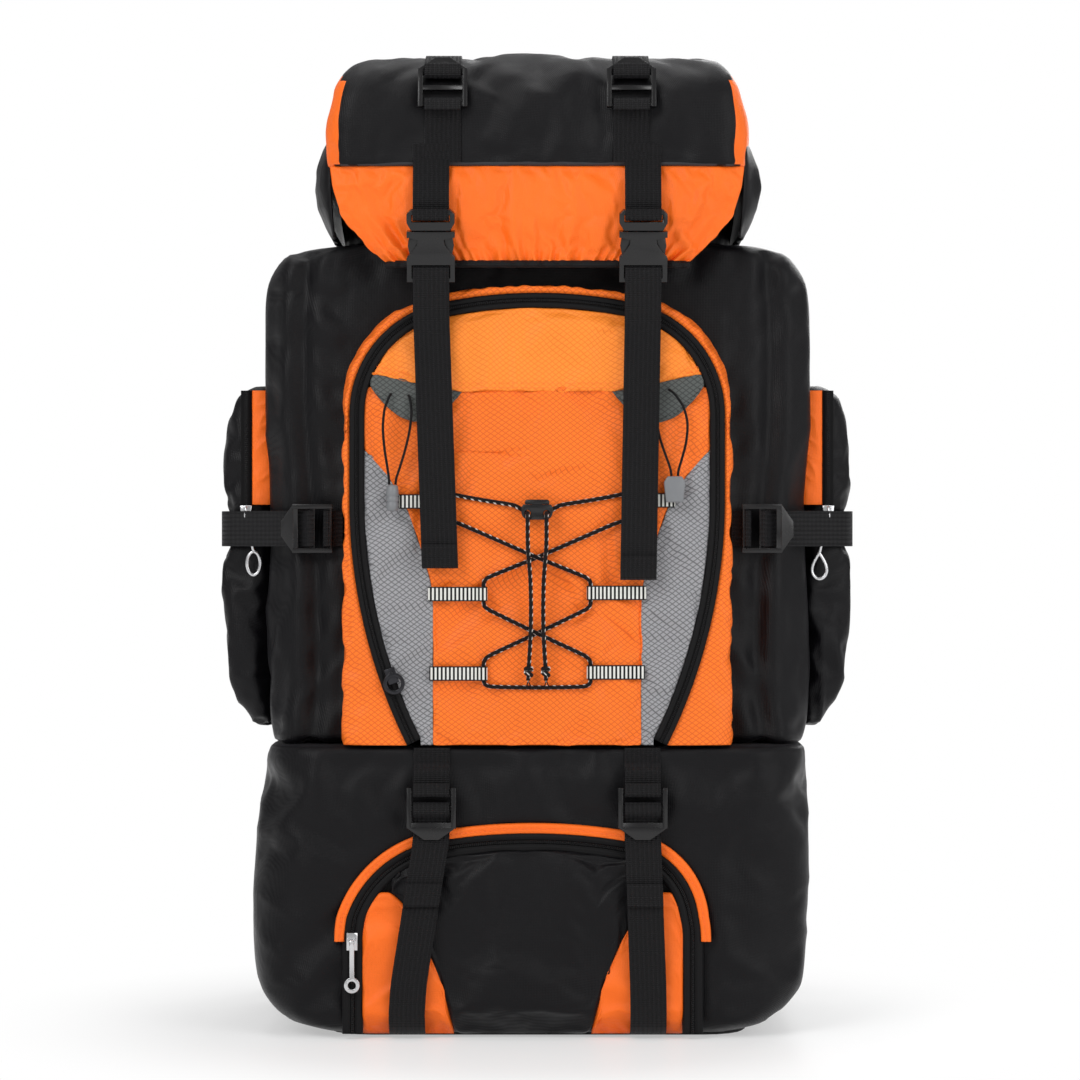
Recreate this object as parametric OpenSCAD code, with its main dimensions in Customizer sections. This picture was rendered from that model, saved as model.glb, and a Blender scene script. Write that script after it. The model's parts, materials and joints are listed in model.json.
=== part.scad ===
// Top-loading hiking backpack with a floating lid, laced front pocket, side pockets,
// a zipped lower compartment and a padded harness. The pack stands upright on its base
// panel; -Y is the front, +Y the wearer's back, +X the right-hand side seen from the front.

/* [Bags] */
// Width of the lower compartment
base_w = 384; // [330:1:460]
// Depth of the lower compartment
base_d = 240; // [210:1:290]
// Height of the lower compartment
base_h = 203; // [190:1:243]
// Width of the main bag
body_w = 376; // [320:1:450]
// Depth of the main bag
body_d = 215; // [180:1:235]
// Height of the main bag
body_h = 350; // [330:1:420]
// Fabric wall with its lining
wall = 3; // [2:0.5:4]
// Height of the gathered collar above the main bag
collar_h = 50; // [42:1:60]
// Width of the collar
collar_w = 276; // [230:1:290]
// Thickness of each side pocket
side_pocket_t = 32; // [26:1:40]
// Height of each side pocket
side_pocket_h = 242; // [200:1:290]
// Front to back length of each side pocket
side_pocket_d = 120; // [100:1:140]

/* [Lid] */
// Width of the lid
lid_w = 290; // [280:1:350]
// Depth of the lid
lid_d = 253; // [245:1:300]
// Height of the lid
lid_h = 79; // [66:1:95]
// Radius of the lid's front top edge
lid_nose_r = 35; // [25:1:42]
// How far the gathered front skirt hangs below the lid
skirt_drop = 72; // [60:1:86]

/* [Front pocket] */
// Width of the front pocket
pocket_w = 270; // [225:1:290]
// Height of the front pocket
pocket_h = 320; // [300:1:330]
// Depth of the front pocket
pocket_d = 28; // [23:1:34]
// Width of the zip band round its door
zip_band = 12; // [10:1:15]
// How far the door narrows towards its bottom
door_taper = 40; // [33:1:48]

/* [Webbing and buckles] */
// Width of the webbing
web_w = 25; // [20:1:30]
// Thickness of the webbing
web_t = 1.6; // [1.2:0.1:2]
// Distance of each front strap from the middle
strap_x = 73; // [66:1:84]
// Length of the loose tail under each lid buckle
tail_l = 190; // [150:1:230]
// Thickness of a moulded buckle
buckle_t = 10; // [9:0.5:12]
// How far a buckle arm stands out past the mouth that it catches on
latch_bite = 1; // [0.6:0.1:1.4]
// Thickness of a ladder lock's bars
bar_t = 3.4; // [3:0.1:4]

/* [Cords] */
// Diameter of the lacing cord
lace_d = 3; // [2.5:0.1:3.6]
// Diameter of the tool loops' cord
tool_cord_d = 1.8; // [1.5:0.1:2.2]
// Width of a lacing loop
loop_w = 10; // [8:0.5:12]

/* [Harness] */
// Thickness of the back pads
back_pad_t = 14; // [10:1:18]
// Width of a shoulder pad
shoulder_w = 62; // [52:1:72]
// Thickness of a shoulder pad
shoulder_t = 12; // [10:1:15]
// Height of a hip wing
wing_h = 96; // [80:1:115]
// Thickness of a hip wing
wing_t = 13; // [10:1:16]
// Radius that a hip wing curls round
wing_r = 64; // [54:1:76]
// Width of a frame stay
stay_w = 25; // [20:1:30]
// Thickness of a frame stay
stay_t = 3; // [2:0.5:4]

/* [Hidden] */
fit = 0.3;            // gap between pieces that are sewn or laid face to face
$fn = 40;

// Levels and faces that the pieces share
base_plate_t = 5.7;
base_z = base_plate_t + fit;
body_z = base_h + fit;
body_top = base_h + body_h;
lid_z = body_top + collar_h + fit;
lid_top = lid_z + lid_h;
back_y = base_d / 2;
base_front = -base_d / 2;
body_front = back_y - body_d;
pocket_front = body_front - pocket_d;
lid_front = back_y - lid_d;
base_corner = 40;
base_foot_r = 45;
body_corner = 30;
shoulder_r = 38;      // the main bag's top corners, seen from the front
collar_corner = 40;
panel_t = 2.7;        // a sewn panel's thickness
side_front = -side_pocket_d / 2;
side_z = base_h + 11;
side_x = body_w / 2 + fit;

// ---------------------------------------------------------------- outlines
function unit(v) = v / norm(v);
function normal(v) = [-v.y, v.x];
function arc(c, r, a0, a1, n) =
    [for (i = [0:n]) c + r * [cos(a0 + (a1 - a0) * i / n), sin(a0 + (a1 - a0) * i / n)]];
function mirrored(p) = [for (i = [len(p) - 1:-1:0]) [-p[i].x, p[i].y]];
function rounded(w, d, r, n = 6) = concat(
    arc([w / 2 - r, d / 2 - r], r, 0, 90, n), arc([r - w / 2, d / 2 - r], r, 90, 180, n),
    arc([r - w / 2, r - d / 2], r, 180, 270, n), arc([w / 2 - r, r - d / 2], r, 270, 360, n));
function mitre(p, i) =
    let (a = i > 0 ? unit(p[i] - p[i - 1]) : unit(p[1] - p[0]),
         b = i < len(p) - 1 ? unit(p[i + 1] - p[i]) : a,
         m = unit(normal(a) + normal(b)))
    m / (m * normal(a));
function ribbon(p, hw) = concat(
    [for (i = [0:len(p) - 1]) p[i] + mitre(p, i) * hw[i]],
    [for (i = [len(p) - 1:-1:0]) p[i] - mitre(p, i) * hw[i]]);
function strip(p, t) = ribbon(p, [for (q = p) t / 2]);

// A left half whose last point is on the middle line, joined to its mirror image
function both_halves(half) = concat(half, mirrored([for (i = [0:len(half) - 2]) half[i]]));

// An arch with straight legs, round shoulders and a crowned top. inset moves it inwards.
function arch_tilt(hw, r, crown) = asin((hw - r) / (crown - r));
function arch_shoulder_z(hw, top, r, crown) =
    top - crown + (crown - r) * cos(arch_tilt(hw, r, crown));
function half_arch(hw, top, r, crown, inset) =
    let (tilt = arch_tilt(hw, r, crown), zc = arch_shoulder_z(hw, top, r, crown))
    concat(arc([r - hw, zc], r - inset, 180, 90 + tilt, 10),
           arc([0, top - crown], crown - inset, 90 + tilt * 0.66, 90, 2));
function arch(hw, top, r, crown, foot, inset = 0) =
    let (half = concat([[inset - hw, foot]], half_arch(hw, top, r, crown, inset)))
    both_halves(half);

// Cloth and panels are flat outlines pushed along one axis.
module along_x(x0, x1) translate([x0, 0, 0]) rotate([90, 0, 90]) linear_extrude(x1 - x0) children();
module forward(y0, t) translate([0, y0, 0]) rotate([90, 0, 0]) linear_extrude(t) children();
module both_sides() { children(); mirror([1, 0, 0]) children(); }

// ---------------------------------------------------------------- front pocket outlines
pocket_foot = base_h + 0.6;
pocket_top = base_h + pocket_h;
gusset_r = 80;
gusset_crown = 330;
door_hw = pocket_w / 2 - 8;
door_top = pocket_top - 6;
door_r = 76;
door_crown = 324;
door_mid = arch_shoulder_z(door_hw, door_top, door_r, door_crown);
door_leg = min(door_mid - pocket_foot, 170);
door_leg_z = pocket_foot + door_leg;
door_leg_r = (door_leg * door_leg + door_taper * door_taper) / (2 * door_taper);
door_leg_a = asin(door_leg / door_leg_r);
module pocket_outline(inset = 0)
    polygon(arch(pocket_w / 2, pocket_top, gusset_r, gusset_crown, pocket_foot, inset));
module door_outline(inset = 0, below = 0)
    let (leg = arc([door_leg_r - door_hw, door_leg_z], door_leg_r - inset, 180 + door_leg_a, 180, 8),
         half = concat([[leg[0].x, leg[0].y - below]], leg,
                       half_arch(door_hw, door_top, door_r, door_crown, inset)))
    polygon(both_halves(half));

// ---------------------------------------------------------------- bags
module base_solid(inset = 0)
    intersection() {
        translate([0, 0, base_z + inset]) linear_extrude(base_h - base_z - 2 * inset)
            polygon(rounded(base_w - 2 * inset, base_d - 2 * inset, base_corner - inset));
        forward(base_d, 2 * base_d) polygon(concat(
            arc([base_foot_r - base_w / 2, base_z + base_foot_r], base_foot_r - inset, 180, 270, 6),
            arc([base_w / 2 - base_foot_r, base_z + base_foot_r], base_foot_r - inset, 270, 360, 6),
            [[base_w / 2 - inset, base_h + 1], [inset - base_w / 2, base_h + 1]]));
    }

module base_panel()
    color("#1d1d20") linear_extrude(base_plate_t)
        polygon(rounded(base_w - 2 * base_foot_r, base_d - 36, 30));

module base_bag()
    color("#1d1d20") difference() {
        base_solid();
        base_solid(wall);
    }

module body_plan(inset = 0)
    translate([0, back_y - body_d / 2])
        polygon(rounded(body_w - 2 * inset, body_d - 2 * inset, body_corner - inset));
module collar_plan(inset = 0)
    translate([0, back_y - body_d / 2])
        polygon(rounded(collar_w - 2 * inset, body_d - 8 - 2 * inset, collar_corner - inset));

module body_front_view(inset = 0)
    let (half = concat([[inset - body_w / 2, body_z + inset]],
                       arc([shoulder_r - body_w / 2, body_top - shoulder_r], shoulder_r - inset, 180, 90, 6)))
    polygon(concat(half, mirrored(half)));
module body_solid(inset = 0)
    intersection() {
        linear_extrude(body_top) body_plan(inset);
        forward(2 * base_d, 4 * base_d) body_front_view(inset);
    }
module main_bag()
    color("#222225") difference() {
        body_solid();
        body_solid(wall);
        translate([0, 0, body_top - 2 * wall]) linear_extrude(3 * wall) collar_plan(wall);
    }

module collar()
    color("#1a1a1c") translate([0, 0, body_top + fit]) linear_extrude(collar_h - fit)
        difference() { collar_plan(); collar_plan(wall - 0.5); }

cord_ring_z = body_top + collar_h - 8;
module collar_cord()
    color("#3a3a3c") translate([0, 0, cord_ring_z]) linear_extrude(3)
        difference() { collar_plan(-3.3); collar_plan(-fit); }

module collar_lock()
    color("#151515") translate([0, body_front + 4 - 3.3 - fit - 6, cord_ring_z - 5])
        difference() {
            cylinder(r = 6, h = 11);
            translate([0, 0, 8.5]) cylinder(r = 4.6, h = 4);
        }

module frame_sheet()
    color("#101012") translate([-120, back_y - wall - fit - 1.4, body_z + wall + fit])
        cube([240, 1.4, body_h - 2 * wall - 10]);

module frame_stays()
    color("#b9bcc0") both_sides()
        translate([60 - stay_w / 2, back_y - wall - 2 * fit - 1.4 - stay_t, body_z + wall + fit])
            cube([stay_w, stay_t, body_h - 2 * wall - 16]);

pad_y = back_y + fit;
pad_top = body_top - 47;
module pad(x0, x1, z0, z1, r)
    translate([0, pad_y + back_pad_t, 0]) forward(0, back_pad_t)
        translate([(x0 + x1) / 2, (z0 + z1) / 2]) polygon(rounded(x1 - x0, z1 - z0, r));
module back_pads()
    color("#26262a") {
        both_sides() pad(20, 106, base_h + 22, pad_top, 20);
        pad(-100, 100, base_h - 112, base_h + 2, 25);
    }

// ---------------------------------------------------------------- front pocket
face_y = pocket_front + panel_t;          // the plane that the zip band and the door lie on
module pocket_gusset()
    color("#f57a20") difference() {
        forward(body_front - fit, body_front - fit - face_y) pocket_outline();
        forward(body_front, body_front - wall - face_y) pocket_outline(wall);
        forward(body_front, pocket_d) door_outline(zip_band, 5);
    }

module pocket_zip()
    color("#141416") {
        forward(face_y - fit, 2.2) difference() {
            door_outline(0);
            door_outline(zip_band, 5);
        }
        forward(face_y - fit - 2.2, 0.8) difference() {
            door_outline(zip_band / 2 - 1.5);
            door_outline(zip_band / 2 + 1.5, 5);
        }
    }

// Seam between the orange middle and the grey side of the door, from the bottom up.
seam_x = 72;
grey_seam = [[seam_x, pocket_foot - 5], [seam_x, base_h + 99], [seam_x + 5, base_h + 126],
             [seam_x + 19, base_h + 167], [seam_x + 31, base_h + 187], [seam_x + 48, base_h + 205]];
module grey_side(gap = 0)
    polygon(concat([for (p = grey_seam) p - [gap, 0]], [[pocket_w, base_h + 205], [pocket_w, pocket_foot - 5]]));
module pocket_panel()
    color("#f57a20") forward(face_y - fit, panel_t - fit) difference() {
        door_outline(zip_band + fit);
        both_sides() grey_side(fit);
    }

// The flap's lower edge, and the crescents under it that the tool loops come out of
flap_z = base_h + 246;
flap_edge = [[0, flap_z], [54, flap_z], [90, flap_z + 7], [pocket_w / 2, flap_z + 17]];
flap_side = concat(flap_edge, [[pocket_w / 2, pocket_top]]);
crescent_low = [[pocket_w / 2, flap_z + 13], [104, flap_z - 11], [85, flap_z - 20.5],
                [66, flap_z - 15], [54, flap_z - 0.6]];
module pocket_flap()
    color("#ff8a2a") forward(pocket_front - fit, 2) intersection() {
        door_outline(zip_band + fit);
        polygon(concat(flap_side, mirrored(flap_side)));
    }
module pocket_grey_panels()
    color("#8b8d90") {
        forward(face_y - fit, panel_t - fit) intersection() {
            door_outline(zip_band + fit);
            both_sides() grey_side();
        }
        forward(pocket_front - fit, 1.6) both_sides() intersection() {
            door_outline(zip_band + fit);
            polygon(concat([for (i = [1:3]) flap_edge[i] - [0, 0.6]], crescent_low));
        }
    }

// ---------------------------------------------------------------- lower compartment's door
door2_hw = base_w * 0.34;
door2_top = base_h - 53;
door2_r = 75;
door2_crown = 400;
door2_foot = base_z + 3;
door2_leg = arch_shoulder_z(door2_hw, door2_top, door2_r, door2_crown);
piping_w = 6;
zip2_w = 12.5;
module arch2(inset, foot = door2_foot) polygon(arch(door2_hw, door2_top, door2_r, door2_crown, foot, inset));
door2_t = 8;
// Straight lower front face, above the rounded foot
module base_piping()
    color("#f5641e") forward(base_front - fit, 5) difference() {
        arch2(0, door2_leg - 3);
        arch2(piping_w, door2_leg - 8);
    }
module base_zip()
    color("#141416") {
        forward(base_front - fit, 3) difference() {
            arch2(piping_w + fit);
            arch2(piping_w + fit + zip2_w, door2_foot - 5);
        }
        forward(base_front - fit - 3, 0.8) difference() {
            arch2(piping_w + zip2_w / 2 - 1.2);
            arch2(piping_w + zip2_w / 2 + 1.8, door2_foot - 5);
        }
    }
wing_edge = [[door2_hw - 46, door2_foot + 94], [door2_hw - 62, door2_foot + 64],
             [door2_hw - 74, door2_foot + 34], [door2_hw - 83, door2_foot - 1]];
module wing_region(gap = 0)
    polygon(concat([[door2_hw - 20, door2_foot + 103], [door2_hw - 34, door2_foot + 103]],
                   [for (p = wing_edge) p - [gap, 0]], [[door2_hw, door2_foot - 1]]));
module base_door()
    color("#1c1c1f") forward(base_front - fit, door2_t) difference() {
        arch2(piping_w + zip2_w + 2 * fit);
        both_sides() wing_region(fit);
    }
module base_door_wings()
    color("#f57a20") forward(base_front - fit, door2_t) intersection() {
        arch2(piping_w + zip2_w + 2 * fit);
        both_sides() wing_region();
    }

// ---------------------------------------------------------------- side pockets
side_round = 14;
strap_z = base_h + 151;
module side_plan(inset = 0)
    polygon(concat([[side_x + inset, side_front + inset]],
        arc([side_x + side_pocket_t - side_round, side_front + side_round], side_round - inset, 270, 360, 4),
        arc([side_x + side_pocket_t - side_round, -side_front - side_round], side_round - inset, 0, 90, 4),
        [[side_x + inset, -side_front - inset]]));
module side_pocket()
    color("#202023") difference() {
        translate([0, 0, side_z]) linear_extrude(side_pocket_h) side_plan();
        translate([0, 0, side_z + wall]) linear_extrude(side_pocket_h - 2 * wall) side_plan(wall);
    }
module left_side_pocket() mirror([1, 0, 0]) side_pocket();
module right_side_pocket() side_pocket();

zip3_z0 = strap_z + web_w / 2 + 4;
zip3_z1 = side_z + side_pocket_h - 4;
zip3_x = side_x + side_pocket_t - side_round - 8;
module side_pocket_strips()
    color("#f5641e") both_sides()
        translate([side_x + 0.5, side_front - fit - 1.6, zip3_z0])
            cube([zip3_x - side_x - 1.1, 1.6, zip3_z1 - zip3_z0]);
module side_zips()
    color("#141416") both_sides() {
        translate([zip3_x, side_front - fit - 1.6, zip3_z0]) cube([8, 1.6, zip3_z1 - zip3_z0]);
        translate([zip3_x + 3, side_front - fit - 2.3, zip3_z0]) cube([2, 0.7, zip3_z1 - zip3_z0]);
    }

// Slider with its bridge and a pull; a zip coil's ridge runs in its channel.
slider_gap = 0.35;
module slider(ridge_w, ridge_t, h = 9)
    difference() {
        translate([-ridge_w / 2 - 2.2, -ridge_t - 2.4, 0]) cube([ridge_w + 4.4, ridge_t + 2.4 - slider_gap, h]);
        translate([-ridge_w / 2 - slider_gap, -ridge_t - slider_gap, -1])
            cube([ridge_w + 2 * slider_gap, ridge_t + slider_gap + 1, h + 2]);
    }
module ring(r_out, r_in, t) rotate([90, 0, 0]) linear_extrude(t) difference() { circle(r_out); circle(r_in); }

ring_r = 6;
module side_slider()
    color("#d8d8da") translate([zip3_x + 4, side_front - fit - 1.6, zip3_z0 + 1]) {
        slider(2, 0.7);
        translate([-1.6, -4.1, -40]) cube([3.2, 1, 46]);
        translate([0, -3.1, -40 - ring_r + 0.8]) ring(ring_r, ring_r - 2, 1);
    }
module left_side_slider() mirror([1, 0, 0]) side_slider();
module right_side_slider() side_slider();

// Runs along the straight left leg of the lower door's zip.
base_slider_x = -(door2_hw - piping_w - zip2_w / 2 - 0.3);
base_slider_z = door2_leg - 8;
pull_pivot = [base_slider_x, base_front - fit - 3 - 0.8 - 4.2, base_slider_z + 6];
module base_slider()
    color("#d8d8da") translate([base_slider_x, base_front - fit - 3, base_slider_z]) {
        slider(3, 0.8, 12);
        for (side = [-1, 1]) translate([side * 2.4 - 0.6, -7, 3.5]) cube([1.2, 4, 5]);
        translate([-3, -0.8 - 4.2, 6]) rotate([0, 90, 0]) cylinder(r = 0.8, h = 6);
    }
module base_pull()
    color("#e2e2e4") translate(pull_pivot) {
        difference() {
            union() {
                translate([-1.6, 0, 0]) rotate([0, 90, 0]) cylinder(r = 1.55, h = 3.2);
                translate([-1.6, -0.6, -26]) cube([3.2, 1.2, 25]);
            }
            translate([-3, 0, 0]) rotate([0, 90, 0]) cylinder(r = 0.87, h = 6);
        }
        translate([0, 0.6, -30]) ring(5.4, 2.8, 1.2);
    }

// Runs round the lower left arc of the front pocket's zip: the joint's axis is the arc's centre.
pocket_zip_c = [door_leg_r - door_hw, door_leg_z];
pocket_slider_a = 19;
module pocket_slider()
    color("#55565a") translate([pocket_zip_c.x, face_y - fit - 2.2, pocket_zip_c.y])
        rotate([0, -pocket_slider_a, 0]) translate([-(door_leg_r - zip_band / 2), 0, -5]) {
            slider(3, 0.8, 11);
            translate([0, -3.5, 0]) ring(7.5, 4.8, 1.6);
            translate([-1.2, -5.1, 5.5]) cube([2.4, 1.6, 3]);
        }

// ---------------------------------------------------------------- webbing and its hardware
// Ladder lock: centre at the origin, webbing along Z, outer face towards -Y, thumb tab down.
lock_hw = web_w / 2 + 4.5;
lock_hh = 14;
bar_step = 11.8;
module ladder_lock()
    color("#131315") {
        for (side = [-1, 1]) translate([side * (lock_hw - 1.6) - 1.6, -2.3, -lock_hh])
            cube([3.2, 4.6, 2 * lock_hh]);
        for (i = [-1:1]) translate([-lock_hw + 2, -bar_t / 2, i * bar_step - bar_t / 2])
            cube([2 * lock_hw - 4, bar_t, bar_t]);
        translate([0, -0.7, 0]) rotate([90, 0, 0]) linear_extrude(1.6)
            polygon([[-lock_hw, 0.5 - lock_hh], [lock_hw, 0.5 - lock_hh], [5, -lock_hh - 8], [-5, -lock_hh - 8]]);
    }
// Centre line of webbing past the bars, as [outward offset, height] pairs in the lock's frame.
web_off = bar_t / 2 + web_t / 2 + fit;
anchor_weave = [[web_off, 26], [web_off, bar_step - web_off], [web_off - 1.5, bar_step - web_off - 0.7],
                [1.5 - web_off, bar_step - web_off - 0.7],
                [-web_off, bar_step - web_off + 0.5], [-web_off, bar_step + 5]];
feed_weave = [[web_off, 1.9], [web_off - 1, web_off + 0.3], [1 - web_off, web_off + 0.3],
              [-web_off, 1.9], [-web_off, -2.4], [-1, -web_off - 2.2], [web_off - 1, -web_off - 3.9]];
function in_yz(p, c, a) = [c.x + p.x * cos(a) - p.y * sin(a), c.y + p.x * sin(a) + p.y * cos(a)];
module web_yz(x, path) along_x(x - web_w / 2, x + web_w / 2) polygon(strip(path, web_t));

// Lower straps: anchored at the seam above, threaded through a ladder lock, sewn in at the base.
lower_lock = [base_front - 11.2, base_h - 42];
behind_lock = base_front - 6.5;      // clear of the door's piping
door_face = base_front - fit - door2_t - fit - web_t / 2;
module lower_strap() {
    sewn_y = base_front - fit - web_t / 2;
    tail_y = lower_lock.x + web_off;
    web_yz(strap_x, concat([[sewn_y, base_h - 4], [sewn_y, lower_lock.y + 32]],
                           [for (p = anchor_weave) in_yz(p, lower_lock, 0)]));
    web_yz(strap_x, concat([[door_face, base_z + 6], [door_face, lower_lock.y - 34],
                            [behind_lock, lower_lock.y - 22], [behind_lock, lower_lock.y - 8]],
                           [for (p = feed_weave) in_yz(p, lower_lock, 0)],
                           [[tail_y, lower_lock.y - 10.5], [tail_y, lower_lock.y - 15],
                            [door_face - 2.2, lower_lock.y - 26], [door_face - 2.2, lower_lock.y - 72]]));
}
module lower_straps() color("#19191b") both_sides() lower_strap();

// Side straps: anchored beside the front pocket, round the side pocket and into the back seam.
side_lock = [pocket_w / 2 + 22, body_front - 5.4];
side_corner = [side_x + side_pocket_t - side_round, side_front + side_round];
side_wrap_r = side_round + fit + 2.8 + web_t / 2;
side_sewn_y = body_front - fit - web_t / 2;
bar_x = side_lock.x - bar_step;           // the bar that the inner webbing is sewn round
back_seam_x = side_x + web_t / 2 + 0.2;
module side_strap()
    translate([0, 0, strap_z - web_w / 2]) linear_extrude(web_w) {
        polygon(strip([[pocket_w / 2 + 1, side_sewn_y], [pocket_w / 2 + 4, side_sewn_y],
                       [bar_x + 1.5 + fit, side_lock.y + web_off], [bar_x + web_off + 0.6, side_lock.y + 1.2],
                       [bar_x + web_off + 0.6, side_lock.y - 1.9], [bar_x + 2, side_lock.y - web_off - 0.2],
                       [bar_x - 1, side_lock.y - web_off - 0.2]], web_t));
        polygon(strip(concat([[side_lock.x - 1.2, side_lock.y - web_off], [side_lock.x + 2.9, side_lock.y - web_off],
                              [side_lock.x + 7, side_lock.y + web_off],
                              [side_lock.x + bar_step + 3.5, side_lock.y + web_off]],
                       arc(side_corner, side_wrap_r, 305, 360, 4),
                       arc([side_corner.x, -side_corner.y], side_wrap_r, 0, 90, 5),
                       [[side_x + 6, -side_front + 3], [back_seam_x, -side_front + 12],
                        [back_seam_x, -side_front + 22]]), web_t));
    }
module side_straps() color("#19191b") both_sides() side_strap();

module ladder_locks()
    both_sides() {
        translate([strap_x, lower_lock.x, lower_lock.y]) ladder_lock();
        translate([side_lock.x, side_lock.y, strap_z]) rotate([0, -90, 0]) ladder_lock();
    }

// ---------------------------------------------------------------- side-release buckles
// In a buckle's own frame Z runs towards the latch and -Y is its outer face. A lid buckle is
// tilted so that the lid's swing draws the latch straight out of the socket.
hinge_yz = [back_y + 1.5, lid_z - 1];
skirt_y = lid_front + 5.5;
skirt_reach = norm([skirt_y - 3 - hinge_yz.x, lid_z - skirt_drop - hinge_yz.y]);
buckle_reach = skirt_reach + 1.6 + buckle_t / 2;
buckle_tilt = asin((skirt_drop - 19) / buckle_reach);
buckle_yz = hinge_yz - buckle_reach * [cos(buckle_tilt), sin(buckle_tilt)];
buckle_hw = web_w / 2 + 4;
mouth_z = 9;
frame_end = 26;
arm_t = buckle_t - 6.4;
throat = buckle_hw - 2.5;                 // half the width inside the mouth
arm_pivot = [9, 16];
module at_buckle(side) translate([side * strap_x, buckle_yz.x, buckle_yz.y]) rotate([buckle_tilt, 0, 0]) children();

module waisted_plate() polygon(concat(
    [[-buckle_hw, -14], [-buckle_hw, -9], [-13, -5], [-9.5, 0], [-9, 3.5], [-buckle_hw, 5], [-buckle_hw, mouth_z]],
    [[buckle_hw, mouth_z], [buckle_hw, 5], [9, 3.5], [9.5, 0], [13, -5], [buckle_hw, -9], [buckle_hw, -14]]));
module socket()
    color("#2a2b2e") {
        difference() {
            translate([0, buckle_t / 2, 0]) forward(0, buckle_t) waisted_plate();
            translate([-throat, -arm_t / 2 - 0.9, -11]) cube([2 * throat, arm_t + 1.8, mouth_z + 12]);
            for (side = [-1, 1]) translate([side * (buckle_hw - 3) - 4, -arm_t / 2 - 0.9, -10])
                cube([8, arm_t + 1.8, 15]);
        }
        difference() {
            translate([-buckle_hw, -3, -frame_end]) cube([2 * buckle_hw, 6, frame_end - 13.5]);
            translate([-web_w / 2 - 0.6, -4, 3 - frame_end]) cube([web_w + 1.2, 8, frame_end - 17]);
        }
        translate([-web_w / 2 - 1, -1.7, -19.6]) cube([web_w + 2, 3.4, 2.7]);
    }
module latch()
    color("#2a2b2e") {
        difference() {
            translate([0, buckle_t / 2, 0]) forward(0, buckle_t)
                polygon([[-buckle_hw + 3, mouth_z + 0.8], [buckle_hw - 3, mouth_z + 0.8],
                         [buckle_hw, 15], [buckle_hw, 21], [buckle_hw - 3, 24],
                         [3 - buckle_hw, 24], [-buckle_hw, 21], [-buckle_hw, 15]]);
            translate([-web_w / 2 - 0.6, -buckle_t, 15.5]) cube([web_w + 1.2, 2 * buckle_t, 5]);
        }
        translate([-2.2, -arm_t / 2, -5]) cube([4.4, arm_t, 15]);
    }
module arm()
    color("#3a3b3f") translate([0, arm_t / 2, 0]) forward(0, arm_t)
        polygon([[7.2, 9.3], [10.6, 9.3], [11.4, 5.4], [throat + latch_bite, 4.6],
                 [throat + latch_bite + 0.9, -1], [throat + latch_bite - 0.2, -6.5],
                 [12, -9.4], [9.4, -9.4], [7.4, 0]]);

module lid_sockets() for (side = [-1, 1]) at_buckle(side) socket();
module lid_latches() for (side = [-1, 1]) at_buckle(side) latch();
module left_outer_arm() at_buckle(-1) mirror([1, 0, 0]) arm();
module left_inner_arm() at_buckle(-1) arm();
module right_outer_arm() at_buckle(1) arm();
module right_inner_arm() at_buckle(1) mirror([1, 0, 0]) arm();

// One length of webbing: sewn to the pocket's top, up through the socket's bars and down as a tail.
tail_front = pocket_front - 8.6;
socket_weave = [[4.3, -31], [4.3, -17.4], [2.8, -15.3], [-2.8, -15.3], [-4.3, -17.4], [-4.3, -31]];
strap_foot_z = buckle_yz.y - 58;
strap_foot_y = pocket_front - 2 - 2 * fit - web_t / 2;    // on the pocket's flap
module socket_straps()
    color("#19191b") both_sides()
        web_yz(strap_x, concat([[strap_foot_y, strap_foot_z], [strap_foot_y, strap_foot_z + 16]],
                               [for (p = socket_weave) in_yz(p, buckle_yz, buckle_tilt)],
                               [[tail_front, buckle_yz.y - 62], [tail_front, buckle_yz.y - 28 - tail_l]]));

// ---------------------------------------------------------------- lid
lid_corner_r = 20;
function lid_half(inset) =
    concat([[inset - lid_w / 2, lid_z - 1], [inset - lid_w / 2, lid_z + lid_h * 0.45]],
           arc([lid_corner_r + 7 - lid_w / 2, lid_top - lid_corner_r], lid_corner_r - inset, 170, 90, 5));
module lid_front_view(inset = 0) polygon(concat(lid_half(inset), mirrored(lid_half(inset))));
nose = [lid_front + lid_nose_r, lid_top - lid_nose_r];
module lid_side_view(inset = 0)
    polygon(concat([[back_y - inset, lid_z + inset], [back_y - inset, lid_top - 12], [back_y - 12, lid_top - inset]],
                   arc(nose, lid_nose_r - inset, 90, 180, 7), [[lid_front + inset, lid_z + inset]]));
module lid_solid(inset = 0)
    intersection() {
        forward(2 * base_d, 4 * base_d) lid_front_view(inset);
        along_x(-lid_w, lid_w) lid_side_view(inset);
    }
module lid_bag()
    color("#1f1f22") difference() { lid_solid(); lid_solid(wall); }

module lid_front_skirt()
    color("#f5641e") forward(skirt_y, 3)
        polygon([[-lid_w / 2 + 3, lid_z - fit], [lid_w / 2 - 3, lid_z - fit], [lid_w / 2 - 12, lid_z - 34],
                 [lid_w / 2 - 33, lid_z - skirt_drop], [33 - lid_w / 2, lid_z - skirt_drop],
                 [12 - lid_w / 2, lid_z - 34]]);

module lid_side_skirts()
    color("#1a1a1c") both_sides() along_x(lid_w / 2 - 3, lid_w / 2 + 5)
        polygon([[skirt_y + fit, lid_z - fit], [back_y - 14, lid_z - fit],
                 [back_y - 26, body_top + 8], [skirt_y + fit, body_top + 4]]);

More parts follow.
